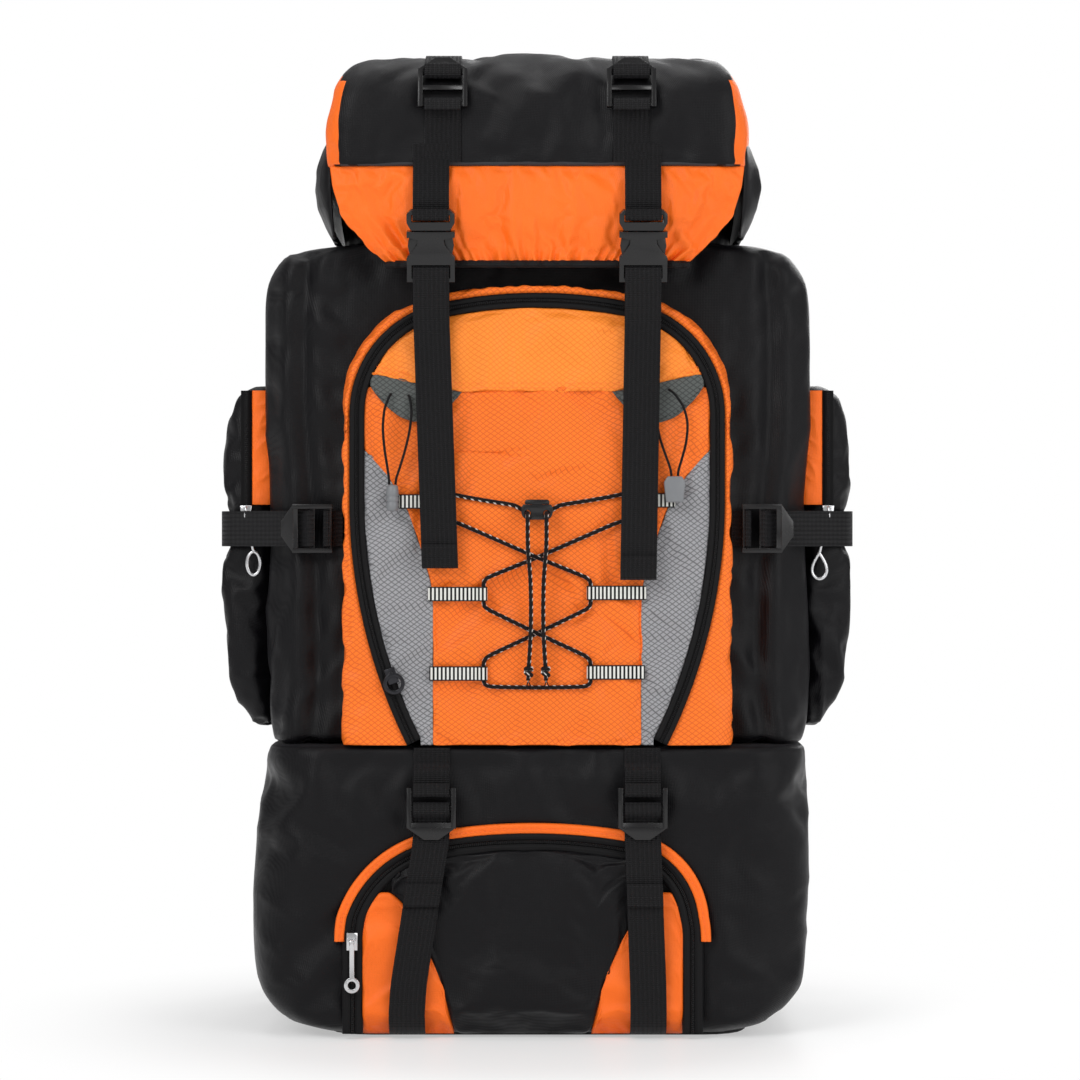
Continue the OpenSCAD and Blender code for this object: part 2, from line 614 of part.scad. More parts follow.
// Straps over the lid's top, each ending in a ladder lock on the lid's nose; the lock stands
// tab upwards on a short anchor. The buckles' latches hang from the lid's front edge.
nose_a = 14;
lock_out = lid_nose_r + 5.4;
lid_lock = [nose.x - lock_out * cos(nose_a), nose.y + lock_out * sin(nose_a)];
function on_nose(p) = in_yz(p, lid_lock, -nose_a);
nose_r = lid_nose_r + fit + web_t / 2;
past_tab = 0.6;       // how far the sewn end lies outside the lock's tab
module lid_webbing()
    color("#1d1d20") both_sides() {
        web_yz(strap_x - 8, concat([[back_y - 14, lid_top + fit + web_t / 2]], arc(nose, nose_r, 90, 157 - nose_a, 4),
            [for (i = [1:5]) on_nose(anchor_weave[i] - [i > 3 ? past_tab : 0, 0])]));
        web_yz(strap_x - 8, concat([[lid_front - fit - web_t / 2, nose.y - 26], [lid_front - fit - web_t / 2, nose.y - 14]],
            [for (i = [1:5]) on_nose([anchor_weave[i].x, -anchor_weave[i].y])]));
        web_yz(strap_x, concat([[lid_front - fit - web_t / 2, lid_z + 16], [lid_front - fit - web_t / 2, lid_z + 4]],
            [for (p = [[5.9, 28], [5.9, 18], [-5.9, 18], [-5.9, 25]]) in_yz(p, buckle_yz, buckle_tilt)]));
    }
module lid_locks()
    both_sides() translate([strap_x - 8, lid_lock.x, lid_lock.y]) rotate([nose_a, 180, 0]) ladder_lock();

// ---------------------------------------------------------------- cords
// A round cord swept along a route. r holds one radius, or one for each point.
function tangent(p, i) = unit(p[min(i + 1, len(p) - 1)] - p[max(i - 1, 0)]);
function across(u, t) = unit(u - (u * t) * t);
function side_vectors(p, first) =
    [for (i = 0, u = across(first, tangent(p, 0)); i < len(p);
          i = i + 1, u = i < len(p) ? across(u, tangent(p, i)) : u) u];
module tube(p, r, first = [1, 0, 0], sides = 8) {
    side = side_vectors(p, first);
    n = len(p);
    points = [for (i = [0:n - 1]) for (k = [0:sides - 1])
        let (a = 360 * k / sides, rad = is_list(r) ? r[i] : r)
        p[i] + rad * (cos(a) * side[i] + sin(a) * cross(tangent(p, i), side[i]))];
    walls = [for (i = [0:n - 2]) for (k = [0:sides - 1])
        let (m = (k + 1) % sides) [i * sides + k, (i + 1) * sides + k, (i + 1) * sides + m, i * sides + m]];
    polyhedron(points, concat(walls, [[for (k = [0:sides - 1]) k]],
                              [[for (k = [sides - 1:-1:0]) (n - 1) * sides + k]]));
}

// Lacing loops: a flat doubled strip on the pocket, with an eye at its inner end
lace_rows = [[373, 70, 94], [309, 37, 74], [254, 37, 73]];   // height, eye, outer end
loop_t = 1.2;
eye_r = lace_d / 2 + fit;
eye_y = pocket_front - fit - eye_r - loop_t;
module lacing_loops()
    color("#2b2b2e") both_sides() for (row = lace_rows)
        translate([0, 0, row[0] - loop_w / 2]) linear_extrude(loop_w) difference() {
            union() {
                translate([row[1], eye_y]) circle(eye_r + loop_t);
                translate([row[1], pocket_front - fit - 2 * loop_t]) square([row[2] - row[1], 2 * loop_t]);
            }
            translate([row[1], eye_y]) circle(eye_r);
        }

// Half of the lacing, from the cord lock's left bore to the middle of the bottom run.
function half_lace(top, low) = [
    [-6.5, -135, 364.5], [-6.5, -128.2, 364.5], [-7.6, -126.8, 365], [-10.5, -126.3, 367],
    [-16, -126.3, 370], [-40, -126.3, 374], [-60, -126.3, 378], [-66, -126.3, 381.5],
    [-69.2, -126.3, 381.5], [-70, -126.3, 379], [-70, -126.3, 367], [-69, -126.3, 363.5],
    [-65, -126.3, 361], [-53, -126.3, 357], [0, top, 334], [33, -126.3, 320.5],
    [36.3, -126.3, 318], [37, -126.3, 315], [37, -126.3, 303], [36.3, -126.3, 300],
    [33, -126.3, 297.5], [0, low, 281.5], [-33, -126.3, 266], [-36.3, -126.3, 263],
    [-37, -126.3, 260], [-37, -126.3, 248.5], [-35.8, -126.3, 246], [-32, -126.3, 244.6],
    [0, -126.3, 244]];
lace_over = -128.5;
lace_under = -125;
lace_route = concat(half_lace(lace_over, lace_under),
    [for (i = [27:-1:0]) let (q = half_lace(lace_under, lace_over)[i]) [-q.x, q.y, q.z]]);
module lacing_cord() color("#1c1c1e") tube(lace_route, lace_d / 2);

// The lacing's two loose ends hang out of the lock's bores to a knot.
lace_tail = [[6.5, -135.2, 364.5], [6.5, -137, 364.2], [6.5, -139, 362.8], [6.5, -140.4, 360.4],
    [6.5, -140.8, 357], [6.5, -139.6, 349], [6.2, -136.4, 339], [5.4, -133.6, 329], [4.6, -132.2, 318],
    [4.2, -132, 300], [4.4, -132, 284], [5, -131.6, 270], [5.6, -131, 261], [5.8, -131, 258.4],
    [5.9, -131, 255], [6, -131, 251.6], [6.2, -131, 249]];
module lace_tails()
    color("#1c1c1e") both_sides()
        tube(lace_tail, [for (i = [0:16]) i == 13 || i == 15 ? 2.8 : (i == 14 ? 3.4 : lace_d / 2)]);

// Tool loops: two legs each, out of eyelets under the flap and down into a moulded end
tool_legs = [
    [[-101, -125, 447], [-101.2, -126.6, 446.7], [-101.9, -128, 445.6], [-103, -128.9, 443], [-105.4, -129, 436],
     [-106.5, -129, 424], [-105.5, -129, 410], [-103.4, -129, 396], [-102.4, -129, 389], [-102.2, -129, 384.2]],
    [[-89, -125, 446], [-88.8, -126.6, 445.7], [-88.3, -128, 444.6], [-87.6, -128.9, 442], [-86.8, -129, 434],
     [-88, -129, 422], [-91.5, -129, 407], [-95.5, -129, 394], [-97.4, -129, 388], [-97.8, -129, 384.2]],
    [[91, -125, 450], [91.6, -126.6, 449.7], [93.2, -128, 448.6], [95.8, -128.9, 446], [101, -129, 438],
     [103.8, -129, 427], [103, -129, 414], [100, -129, 402], [97.8, -129, 394.6], [97.2, -129, 390.2]],
    [[80, -125, 446], [80.1, -126.6, 445.7], [80.5, -128, 444.6], [81, -128.9, 442], [82.2, -129, 430],
     [85, -129, 416], [89, -129, 404], [92, -129, 395.4], [92.8, -129, 390.2]]];
module tool_cords() color("#1c1c1e") for (leg = tool_legs) tube(leg, tool_cord_d / 2);

module tool_cord_ends()
    color("#8d8f92") {
        translate([-100, -129, 366]) cylinder(r = 4.4, h = 18);
        translate([95, 0, 0]) forward(-126.5, 5) polygon([[-5, 390], [5, 390], [7.5, 386], [6, 372], [-6, 372], [-7.5, 386]]);
    }

// Cord lock: bores run front to back, and the plunger comes down from above.
lock_c = [0, -131.6, 365.25];
lock_size = [22, 7, 10.5];
plunger_travel = 2.5;
module cord_lock()
    color("#18181a") translate(lock_c) difference() {
        forward(lock_size.y / 2, lock_size.y) polygon(concat(
            arc([5.2 - lock_size.x / 2, 5 - lock_size.z / 2], 5, 180, 270, 4),
            arc([lock_size.x / 2 - 5.2, 5 - lock_size.z / 2], 5, 270, 360, 4),
            [[lock_size.x / 2 - 0.2, lock_size.z / 2 - 2], [lock_size.x / 2 - 1.5, lock_size.z / 2],
             [1.5 - lock_size.x / 2, lock_size.z / 2], [0.2 - lock_size.x / 2, lock_size.z / 2 - 2]]));
        for (side = [-1, 1]) translate([side * 6.5, 10, 364.5 - lock_c.z]) rotate([90, 0, 0])
            cylinder(r = lace_d / 2 + 0.6, h = 20);
        translate([-3.8, -2.3, -3]) cube([7.6, 4.6, 10]);
        translate([-8.8, -2.3, lock_size.z / 2 - plunger_travel - 0.4]) cube([17.6, 4.6, 5]);
    }
module cord_lock_button()
    color("#242427") translate(lock_c) {
        translate([-3.4, -2, -0.2]) cube([6.8, 4, lock_size.z / 2 + 0.4]);
        translate([0, 2, lock_size.z / 2]) forward(0, 4)
            polygon([[-8.5, 0.1], [8.5, 0.1], [8.5, 2.3], [7.5, 3.4], [-7.5, 3.4], [-8.5, 2.3]]);
    }

// ---------------------------------------------------------------- harness
// Grab loop of folded webbing: a flat arch sewn to the back, which flops over on its feet.
haul_w = 18;
haul_r = 48;
haul_t = 3;
haul_z = body_top - 16;
haul_y = back_y + fit + haul_t / 2;
module haul_loop()
    color("#19191b") translate([0, haul_y, haul_z]) {
        intersection() {
            forward(haul_t / 2, haul_t) difference() {
                union() { circle(haul_r); translate([-haul_r, -haul_t / 2]) square([2 * haul_r, haul_t]); }
                circle(haul_r - haul_w);
                translate([haul_w - haul_r, -haul_r]) square([2 * (haul_r - haul_w), haul_r]);
            }
            translate([-haul_r, -haul_r, 0]) cube(2 * haul_r);
        }
        for (side = [-1, 1]) translate([side * (haul_r - haul_w / 2) - haul_w / 2, 0, 0]) rotate([0, 90, 0])
            cylinder(r = haul_t / 2, h = haul_w);
    }

// Shoulder straps: the pad leaves the back at a point on its swing axis, and its webbing
// comes back to a point on the same axis.
swing_y = back_y + 3;
shoulder_top = [45, swing_y, body_top - 33];
shoulder_foot = [145, swing_y, 72];
pad_foot_z = shoulder_top.z - 236;
neck_gap = 0.5;       // lets the neck's point turn clear of the bag
shoulder_side = [for (p = [[0, 0], [20, 1], [38, -8], [52, -31], [61, -71], [63, -121], [58, -176],
                           [48, -226], [46, -236]]) [back_y + p.x, shoulder_top.z + p.y]];
shoulder_line = [[45, 12], [45, -10], [51, -46], [62, -106], [76, -166], [92, -212], [104, -236]];
shoulder_half = [for (k = [0.42, 0.42, 0.9, 1, 0.94, 0.8, 0.6]) k * shoulder_w / 2];
module shoulder_strap()
    color("#26262a") intersection() {
        along_x(0, base_w) polygon(strip(shoulder_side, shoulder_t));
        forward(2 * base_d, 2 * base_d) translate([0, shoulder_top.z]) polygon(ribbon(shoulder_line, shoulder_half));
        linear_extrude(base_h + 2 * body_h) translate([shoulder_top.x, back_y])
            polygon([[-0.6, neck_gap], [0.6, neck_gap], [14, 14], [base_w, 14], [base_w, base_d],
                     [-base_w, base_d], [-base_w, 14], [-14, 14]]);
    }
module left_shoulder_strap() mirror([1, 0, 0]) shoulder_strap();
module right_shoulder_strap() shoulder_strap();

module shoulder_webbing()
    color("#19191b") {
        intersection() {
            along_x(0, base_w) polygon(strip(
                [[back_y + 46, pad_foot_z - fit], [back_y + 44, pad_foot_z - 12], [back_y + 17, 205],
                 [back_y + 8, 125], [back_y + 6.5, 98], [back_y + 2.2, 70]], web_t));
            forward(2 * base_d, 2 * base_d) polygon(ribbon(
                [[104, pad_foot_z], [120, 200], [shoulder_foot.x - 4, 92], [shoulder_foot.x, 70]],
                [web_w / 2, web_w / 2, web_w / 2, 0.9]));
        }
    }
module left_shoulder_webbing() mirror([1, 0, 0]) shoulder_webbing();
module right_shoulder_webbing() shoulder_webbing();

// Hip wings curl away from the back from a rounded inner end that turns on the lumbar pad.
wing_z = 78;
wing_turn = 75;
wing_pivot = [94, pad_y + back_pad_t + fit + wing_t / 2];
wing_mid_r = wing_r + wing_t / 2;
module hip_wing()
    color("#26262a") translate([wing_pivot.x, wing_pivot.y]) intersection() {
        translate([0, 0, wing_z]) linear_extrude(wing_h) polygon(concat(
            arc([0, wing_mid_r], wing_r + wing_t, 270, 270 + wing_turn, 10),
            arc([0, wing_mid_r], wing_r, 270 + wing_turn, 270, 10),
            arc([0, 0], wing_t / 2, 112.5, 247.5, 6)));
        // the wing's height tapers towards its tip
        forward(base_d, 2 * base_d)
            polygon([[-20, wing_z], [30, wing_z], [90, wing_z + 22], [90, wing_z + wing_h - 22],
                     [30, wing_z + wing_h], [-20, wing_z + wing_h]]);
    }
module left_hip_wing() mirror([1, 0, 0]) hip_wing();
module right_hip_wing() hip_wing();

// A buckle half that hangs on its webbing. Seen from the side, the webbing runs down to the
// buckle, through its bar and a little way up again.
socket_hang = [[4.3, 31], [4.3, 17.4], [2.8, 15.3], [-2.8, 15.3], [-4.3, 17.4], [-4.3, 27]];
latch_hang = [[5.8, 34], [5.8, 18], [-5.8, 18], [-5.8, 30]];
module hanging_web(path, top_z, seat_y, w, k)
    translate([-w / 2, 0, 0]) along_x(0, w)
        polygon(strip(concat([[seat_y, top_z], [seat_y, 46 * k]], k * path), web_t));
module hanging_socket(top_z, seat_y, w, k) {
    color("#2a2b2e") rotate([180, 0, 0]) scale(k) socket();
    color("#19191b") hanging_web(socket_hang, top_z, seat_y, w, k);
}
module hanging_latch(top_z, seat_y, w, k) {
    color("#2a2b2e") scale(k) {
        latch();
        both_sides() arm();
    }
    color("#19191b") hanging_web(latch_hang, top_z, seat_y, w, k);
}

// Belt webbing hangs unfastened from each wing's tip.
hip_k = 1.5;          // belt buckle against lid buckle
hip_web_w = 38;
hip_tip = [wing_pivot.x, wing_pivot.y] + wing_mid_r * [sin(wing_turn), 1 - cos(wing_turn)];
hip_buckle_z = 30;
hip_seat = hip_k * 5.8;
hip_top = wing_z + wing_h / 2 + 18 - hip_buckle_z;
module at_hip_tip()
    translate([hip_tip.x, hip_tip.y, hip_buckle_z]) rotate(wing_turn)
        translate([-hip_web_w / 2 - 1, -wing_t / 2 - fit - hip_seat - web_t / 2, 0]) children();
module hip_socket_strap() mirror([1, 0, 0]) at_hip_tip() hanging_socket(hip_top, hip_seat, hip_web_w, hip_k);
module hip_latch_strap() at_hip_tip() hanging_latch(hip_top, hip_seat, hip_web_w, hip_k);

// Chest strap halves hang from the shoulder pads.
chest_k = 0.76;
chest_web_w = 19;
chest_drop = 80;
chest_seat = chest_k * 5.8;
module at_chest()
    translate([56, back_y + 63 + shoulder_t / 2 + fit + chest_seat + web_t / 2, shoulder_top.z - 71 - chest_drop])
        rotate([0, 0, 180]) children();
module sternum_socket_strap() mirror([1, 0, 0]) at_chest() hanging_socket(chest_drop, chest_seat, chest_web_w, chest_k);
module sternum_latch_strap() at_chest() hanging_latch(chest_drop, chest_seat, chest_web_w, chest_k);

base_panel();
base_bag();
main_bag();
collar();
collar_cord();
collar_lock();
frame_sheet();
frame_stays();
back_pads();
pocket_gusset();
pocket_panel();
pocket_flap();
pocket_grey_panels();
pocket_zip();
base_door();
base_door_wings();
base_zip();
base_piping();
left_side_pocket();
right_side_pocket();
side_pocket_strips();
side_zips();
side_straps();
ladder_locks();
lower_straps();
lid_sockets();
socket_straps();
lacing_loops();
lacing_cord();
lace_tails();
tool_cords();
tool_cord_ends();
lid_bag();
lid_front_skirt();
lid_side_skirts();
lid_webbing();
lid_locks();
lid_latches();
left_outer_arm();
left_inner_arm();
right_outer_arm();
right_inner_arm();
cord_lock();
cord_lock_button();
left_side_slider();
right_side_slider();
base_slider();
base_pull();
pocket_slider();
haul_loop();
left_shoulder_strap();
right_shoulder_strap();
left_shoulder_webbing();
right_shoulder_webbing();
left_hip_wing();
right_hip_wing();
hip_socket_strap();
hip_latch_strap();
sternum_socket_strap();
sternum_latch_strap();
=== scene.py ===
"""Hiking backpack: its cloth, webbing, cords and fittings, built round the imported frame.

Lengths in the classes are millimetres; -Y is the front, +Y the wearer's side and Z is up.
"""

import json
import logging
import math
from collections.abc import Callable, Iterator, Sequence
from contextlib import contextmanager
from dataclasses import dataclass, field
from enum import Enum

import bpy
import numpy as np
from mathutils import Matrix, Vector

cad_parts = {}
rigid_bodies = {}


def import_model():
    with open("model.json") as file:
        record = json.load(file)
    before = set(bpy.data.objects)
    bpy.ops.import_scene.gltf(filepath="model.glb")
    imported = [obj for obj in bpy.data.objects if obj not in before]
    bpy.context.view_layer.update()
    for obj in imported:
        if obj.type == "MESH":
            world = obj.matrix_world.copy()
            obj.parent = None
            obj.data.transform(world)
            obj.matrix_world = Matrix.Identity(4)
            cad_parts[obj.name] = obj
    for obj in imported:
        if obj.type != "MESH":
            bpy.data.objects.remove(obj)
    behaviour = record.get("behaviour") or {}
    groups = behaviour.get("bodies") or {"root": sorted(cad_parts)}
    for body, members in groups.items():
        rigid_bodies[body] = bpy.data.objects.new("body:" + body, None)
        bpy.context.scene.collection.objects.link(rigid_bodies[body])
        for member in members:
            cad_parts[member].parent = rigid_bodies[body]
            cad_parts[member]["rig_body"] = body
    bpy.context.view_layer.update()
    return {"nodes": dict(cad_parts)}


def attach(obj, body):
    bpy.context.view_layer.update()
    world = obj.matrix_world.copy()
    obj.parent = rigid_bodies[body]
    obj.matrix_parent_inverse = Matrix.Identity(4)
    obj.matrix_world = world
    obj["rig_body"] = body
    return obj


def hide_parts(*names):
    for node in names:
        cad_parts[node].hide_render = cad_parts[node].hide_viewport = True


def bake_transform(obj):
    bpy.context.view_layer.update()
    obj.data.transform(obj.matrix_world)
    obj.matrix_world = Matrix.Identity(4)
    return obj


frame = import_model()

log = logging.getLogger("backpack")
MM = 0.001
SIDES = ((-1, "left"), (1, "right"))
FRONT, ACROSS = (0, -1, 0), (1, 0, 0)
DOOR_LEAN = -10.0  # how far the base door leans at its foot
STRAP_X = 73.0  # the buckle and base straps' distance from the middle
SIDE_STRAP_Z = 354.0  # the height of the straps round the side pockets
HASH_PRIMES = np.array([73856093, 19349663, 83492791])  # stir a cell's place into a number
LACE_EYES = ((373, 70, 94), (309, 37, 74), (254, 37, 73))  # each loop's height, eye and outer end
Mesh = bpy.types.Object
Socket = bpy.types.NodeSocket
Points = np.ndarray
Values = np.ndarray
Surface = Callable[[Values, Values], Points]
Reach = Callable[[Points], Points]


# ------------------------------------------------------------------ finishes
class Coords(Enum):
    """The coordinates that a pattern follows."""

    OBJECT = "Object"
    UV = "UV"


class Weave(Enum):
    """The pattern that a cloth is woven or pressed in."""

    PLAIN = "plain"
    DIAMOND = "diamond"
    RIBBED = "ribbed"
    MESH = "mesh"
    FLECKED = "flecked"
    BARRED = "barred"
    COIL = "coil"


def linear(colour: str, gain: float = 1.0) -> tuple[float, float, float, float]:
    """Turns a written colour into the shader's linear values.

    Args:
        colour: six hexadecimal digits.
        gain: a factor on its brightness.

    Returns:
        Red, green, blue and alpha.
    """
    parts = [int(colour[i:i + 2], 16) / 255 for i in (0, 2, 4)]
    tones = [gain * (p / 12.92 if p <= 0.04045 else ((p + 0.055) / 1.055) ** 2.4) for p in parts]
    return (*tones, 1.0)


class Recipe:
    """A material's node tree, with short calls to add and join its nodes."""

    def __init__(self, name: str) -> None:
        """Starts an empty material.

        Args:
            name: the material's name.
        """
        self.material = bpy.data.materials.new(name)
        self.material.use_nodes = True
        self.tree = self.material.node_tree
        self.tree.nodes.clear()
        self.output = self.node("OutputMaterial")
        self.shader = self.node("BsdfPrincipled")
        self.tree.links.new(self.shader.outputs[0], self.output.inputs[0])

    def node(self, kind: str) -> bpy.types.Node:
        """Adds a node, named without its prefix."""
        return self.tree.nodes.new("ShaderNode" + kind)

    def join(self, value: object, socket: Socket) -> None:
        """Links a socket to another, or sets a constant on it.

        Args:
            value: an output socket or a constant.
            socket: the input that takes it.
        """
        if isinstance(value, Socket):
            self.tree.links.new(value, socket)
        else:
            socket.default_value = value

    def math(self, operation: str, *values: object) -> Socket:
        """Adds a Math node.

        Args:
            operation: the node's operation.
            *values: sockets or numbers, in order.

        Returns:
            The result's socket.
        """
        node = self.node("Math")
        node.operation = operation
        for value, socket in zip(values, node.inputs):
            self.join(value, socket)
        return node.outputs[0]

    def axes(self, coords: Coords, scale: float = 1000.0) -> list[Socket]:
        """Gives the coordinates in millimetres.

        Args:
            coords: which coordinates to read.
            scale: a factor on them.

        Returns:
            The three axes' sockets.
        """
        place = self.node("TexCoord")
        mapping = self.node("Mapping")
        mapping.inputs["Scale"].default_value = (scale, scale, scale)
        self.join(place.outputs[coords.value], mapping.inputs["Vector"])
        split = self.node("SeparateXYZ")
        self.join(mapping.outputs[0], split.inputs[0])
        return list(split.outputs)

    def noise(self, period: float, detail: float = 3.0) -> Socket:
        """Adds a cloud pattern on the object's coordinates.

        Args:
            period: the clouds' size in millimetres.
            detail: how many finer layers it has.

        Returns:
            The pattern's value, about 0.3 to 0.7.
        """
        place = self.node("TexCoord")
        clouds = self.node("TexNoise")
        clouds.inputs["Scale"].default_value = 1000.0 / period
        clouds.inputs["Detail"].default_value = detail
        self.join(place.outputs["Object"], clouds.inputs["Vector"])
        return clouds.outputs[0]

    def wave(self, axis: Socket, period: float) -> Socket:
        """Gives a sine from 0 to 1 along an axis.

        Args:
            axis: a coordinate in millimetres.
            period: the wave's length in millimetres.

        Returns:
            The wave's socket.
        """
        angle = self.math("MULTIPLY", axis, math.tau / period)
        return self.math("MULTIPLY_ADD", self.math("SINE", angle), 0.5, 0.5)

    def stripe(self, axis: Socket, period: float, share: float, soft: float = 0.04) -> Socket:
        """Gives stripes of 1 on 0 along an axis.

        Args:
            axis: a coordinate in millimetres.
            period: the stripes' pitch.
            share: the part of the pitch that is 1.
            soft: the width of a stripe's edge, as a part of the pitch.

        Returns:
            The stripes' socket.
        """
        saw = self.math("FRACT", self.math("DIVIDE", axis, period))
        middle = self.math("ABSOLUTE", self.math("SUBTRACT", saw, 0.5))
        ramp = self.node("MapRange")
        ramp.inputs["From Min"].default_value = share / 2 - soft
        ramp.inputs["From Max"].default_value = share / 2 + soft
        ramp.inputs["To Min"].default_value = 1.0
        ramp.inputs["To Max"].default_value = 0.0
        self.join(middle, ramp.inputs["Value"])
        return ramp.outputs[0]

    def mix(self, factor: object, a: object, b: object) -> Socket:
        """Mixes two colours.

        Args:
            factor: 0 for the first, 1 for the second.
            a: a colour or its socket.
            b: a colour or its socket.

        Returns:
            The mixed colour's socket.
        """
        node = self.node("Mix")
        node.data_type = "RGBA"
        for value, index in ((factor, 0), (a, 6), (b, 7)):
            self.join(value, node.inputs[index])
        return node.outputs[2]

    def bump(self, height: Socket, depth: float, under: Socket | None = None) -> Socket:
        """Adds relief.

        Args:
            height: heights from 0 to 1.
            depth: the relief's depth in millimetres.
            under: relief that this one is laid on.

        Returns:
            The normal's socket.
        """
        node = self.node("Bump")
        node.inputs["Distance"].default_value = depth * MM
        self.join(height, node.inputs["Height"])
        if under is not None:
            self.join(under, node.inputs["Normal"])
        return node.outputs[0]


@dataclass(frozen=True)
class ClothFinish:
    """A woven finish.

    Args:
        name: the material's name.
        colour: the thread's colour, written in hexadecimal.
        weave: the pattern it is woven in.
        accent: the colour of the pattern's lines, flecks or bars; in the ribbed and coil weaves it is painted
            shade in the valleys, and in the air mesh painted shade in the holes.
        roughness: the shader's roughness.
        sheen: the shader's sheen weight.
        relief: the weave's depth in millimetres.
        pitch: the pattern's pitch in millimetres.
        crumple: the depth of the fine crumples in millimetres.
    """

    name: str
    colour: str
    weave: Weave = Weave.PLAIN
    accent: str = "000000"
    roughness: float = 0.6
    sheen: float = 0.05
    relief: float = 0.12
    pitch: float = 1.1
    crumple: float = 0.5

    def material(self) -> bpy.types.Material:
        """Gives the finish's material, which is made once."""
        return bpy.data.materials.get(self.name + "_finish") or self._make()

    def _make(self) -> bpy.types.Material:
        """Builds the node tree.

        Returns:
            The new material.
        """
        r = Recipe(self.name + "_finish")
        base, line = linear(self.colour), linear(self.accent)
        clouds, fine = r.noise(60.0, 2.0), r.noise(0.9, 1.0)
        shade = r.math("MULTIPLY_ADD", clouds, 0.5, 0.28)
        tone = r.mix(r.math("ADD", shade, r.math("MULTIPLY_ADD", fine, 0.3, -0.15)), linear(self.colour, 0.78),
            linear(self.colour, 1.2))
        if self.weave in (Weave.RIBBED, Weave.FLECKED, Weave.BARRED, Weave.COIL):
            x, z, _ = r.axes(Coords.UV, 1.0)
            a, b = x, z
        else:
            x, y, z = r.axes(Coords.OBJECT)
            a = r.math("MULTIPLY_ADD", y, 0.8, x)
            b = r.math("MULTIPLY_ADD", y, 0.6, z)
        height = r.math("MULTIPLY", r.wave(a, self.pitch), r.wave(b, self.pitch))
        colour = tone
        if self.weave is Weave.DIAMOND:
            up = r.stripe(r.math("ADD", a, r.math("MULTIPLY", b, 1.35)), 5.0, 0.2, 0.07)
            down = r.stripe(r.math("SUBTRACT", a, r.math("MULTIPLY", b, 1.35)), 5.0, 0.2, 0.07)
            lines = r.math("MAXIMUM", up, down)
            colour = r.mix(r.math("MULTIPLY", lines, 0.75), tone, line)
            height = r.math("SUBTRACT", r.math("MULTIPLY", height, 0.3), r.math("MULTIPLY", lines, 0.6))
        elif self.weave is Weave.RIBBED:
            ribs = r.wave(a, self.pitch)
            height = r.math("MULTIPLY_ADD", r.wave(b, 1.3), 0.45, ribs)
            # Painted shade and highlight: the ribs' valleys are darkened towards the accent and the crests are
            # left lighter.
            colour = r.mix(r.math("MULTIPLY", r.math("SUBTRACT", 1.0, ribs), 0.5), tone, line)
        elif self.weave is Weave.FLECKED:
            twist = r.math("ADD", b, r.math("MULTIPLY", a, 0.8))
            spots = r.math("MULTIPLY", r.stripe(twist, 5.2, 0.34), r.stripe(a, 4.7, 0.42))
            colour = r.mix(spots, tone, line)
            back = r.math("SUBTRACT", b, r.math("MULTIPLY", a, 0.8))
            height = r.math("ADD", r.wave(twist, 1.5), r.wave(back, 1.5))
        elif self.weave is Weave.BARRED:
            bars = r.math("MULTIPLY", r.stripe(b, 2.8, 0.5), r.stripe(a, 10.0, 0.84, 0.02))
            colour = r.mix(bars, tone, line)
            height = r.math("MULTIPLY_ADD", bars, 0.6, r.math("MULTIPLY", height, 0.4))
        elif self.weave is Weave.MESH:
            holes = r.node("TexVoronoi")
            holes.inputs["Scale"].default_value = 1000.0 / self.pitch
            holes.inputs["Randomness"].default_value = 0.25
            place = r.node("TexCoord")
            r.join(place.outputs["Object"], holes.inputs["Vector"])
            open_ = r.math("LESS_THAN", holes.outputs[0], 0.33)
            # Painted shade: the mesh's holes are coloured with the near-black accent.
            colour = r.mix(open_, tone, line)
            height = r.math("SUBTRACT", 1.0, open_)
        elif self.weave is Weave.COIL:
            height = r.wave(b, self.pitch)
            # Painted shade: the coil's grooves are darkened towards the accent and its ridges are left lighter.
            colour = r.mix(r.math("SUBTRACT", 1.0, height), tone, line)
        s = r.shader.inputs
        r.join(colour, s["Base Color"])
        s["Roughness"].default_value = self.roughness
        s["Sheen Weight"].default_value = self.sheen
        s["Sheen Roughness"].default_value = 0.45
        s["Sheen Tint"].default_value = base if max(base[:3]) > 0.1 else (0.6, 0.6, 0.65, 1.0)
        s["Specular IOR Level"].default_value = 0.19 if max(base[:3]) < 0.03 else 0.3
        crumpled = r.bump(r.noise(9.0, 3.0), self.crumple)
        r.join(r.bump(height, self.relief, crumpled), s["Normal"])
        return r.material


@dataclass(frozen=True)
class HardFinish:
    """A moulded or cast finish.

    Args:
        name: the material's name.
        colour: its colour, written in hexadecimal.
        roughness: the shader's roughness.
        metallic: 1 for metal, 0 for plastic.
        grain: the depth of the mould's fine grain in millimetres.
    """

    name: str
    colour: str
    roughness: float = 0.35
    metallic: float = 0.0
    grain: float = 0.02

    def material(self) -> bpy.types.Material:
        """Gives the finish's material, which is made once."""
        return bpy.data.materials.get(self.name + "_finish") or self._make()

    def _make(self) -> bpy.types.Material:
        """Builds the node tree.

        Returns:
            The new material.
        """
        r = Recipe(self.name + "_finish")
        clouds, fine = r.noise(14.0, 3.0), r.noise(0.6, 2.0)
        r.join(r.mix(clouds, linear(self.colour, 0.86), linear(self.colour, 1.14)),
            r.shader.inputs["Base Color"])
        r.shader.inputs["Metallic"].default_value = self.metallic
        r.join(r.math("MULTIPLY_ADD", clouds, 0.14, self.roughness - 0.07), r.shader.inputs["Roughness"])
        r.join(r.bump(fine, self.grain), r.shader.inputs["Normal"])
        return r.material


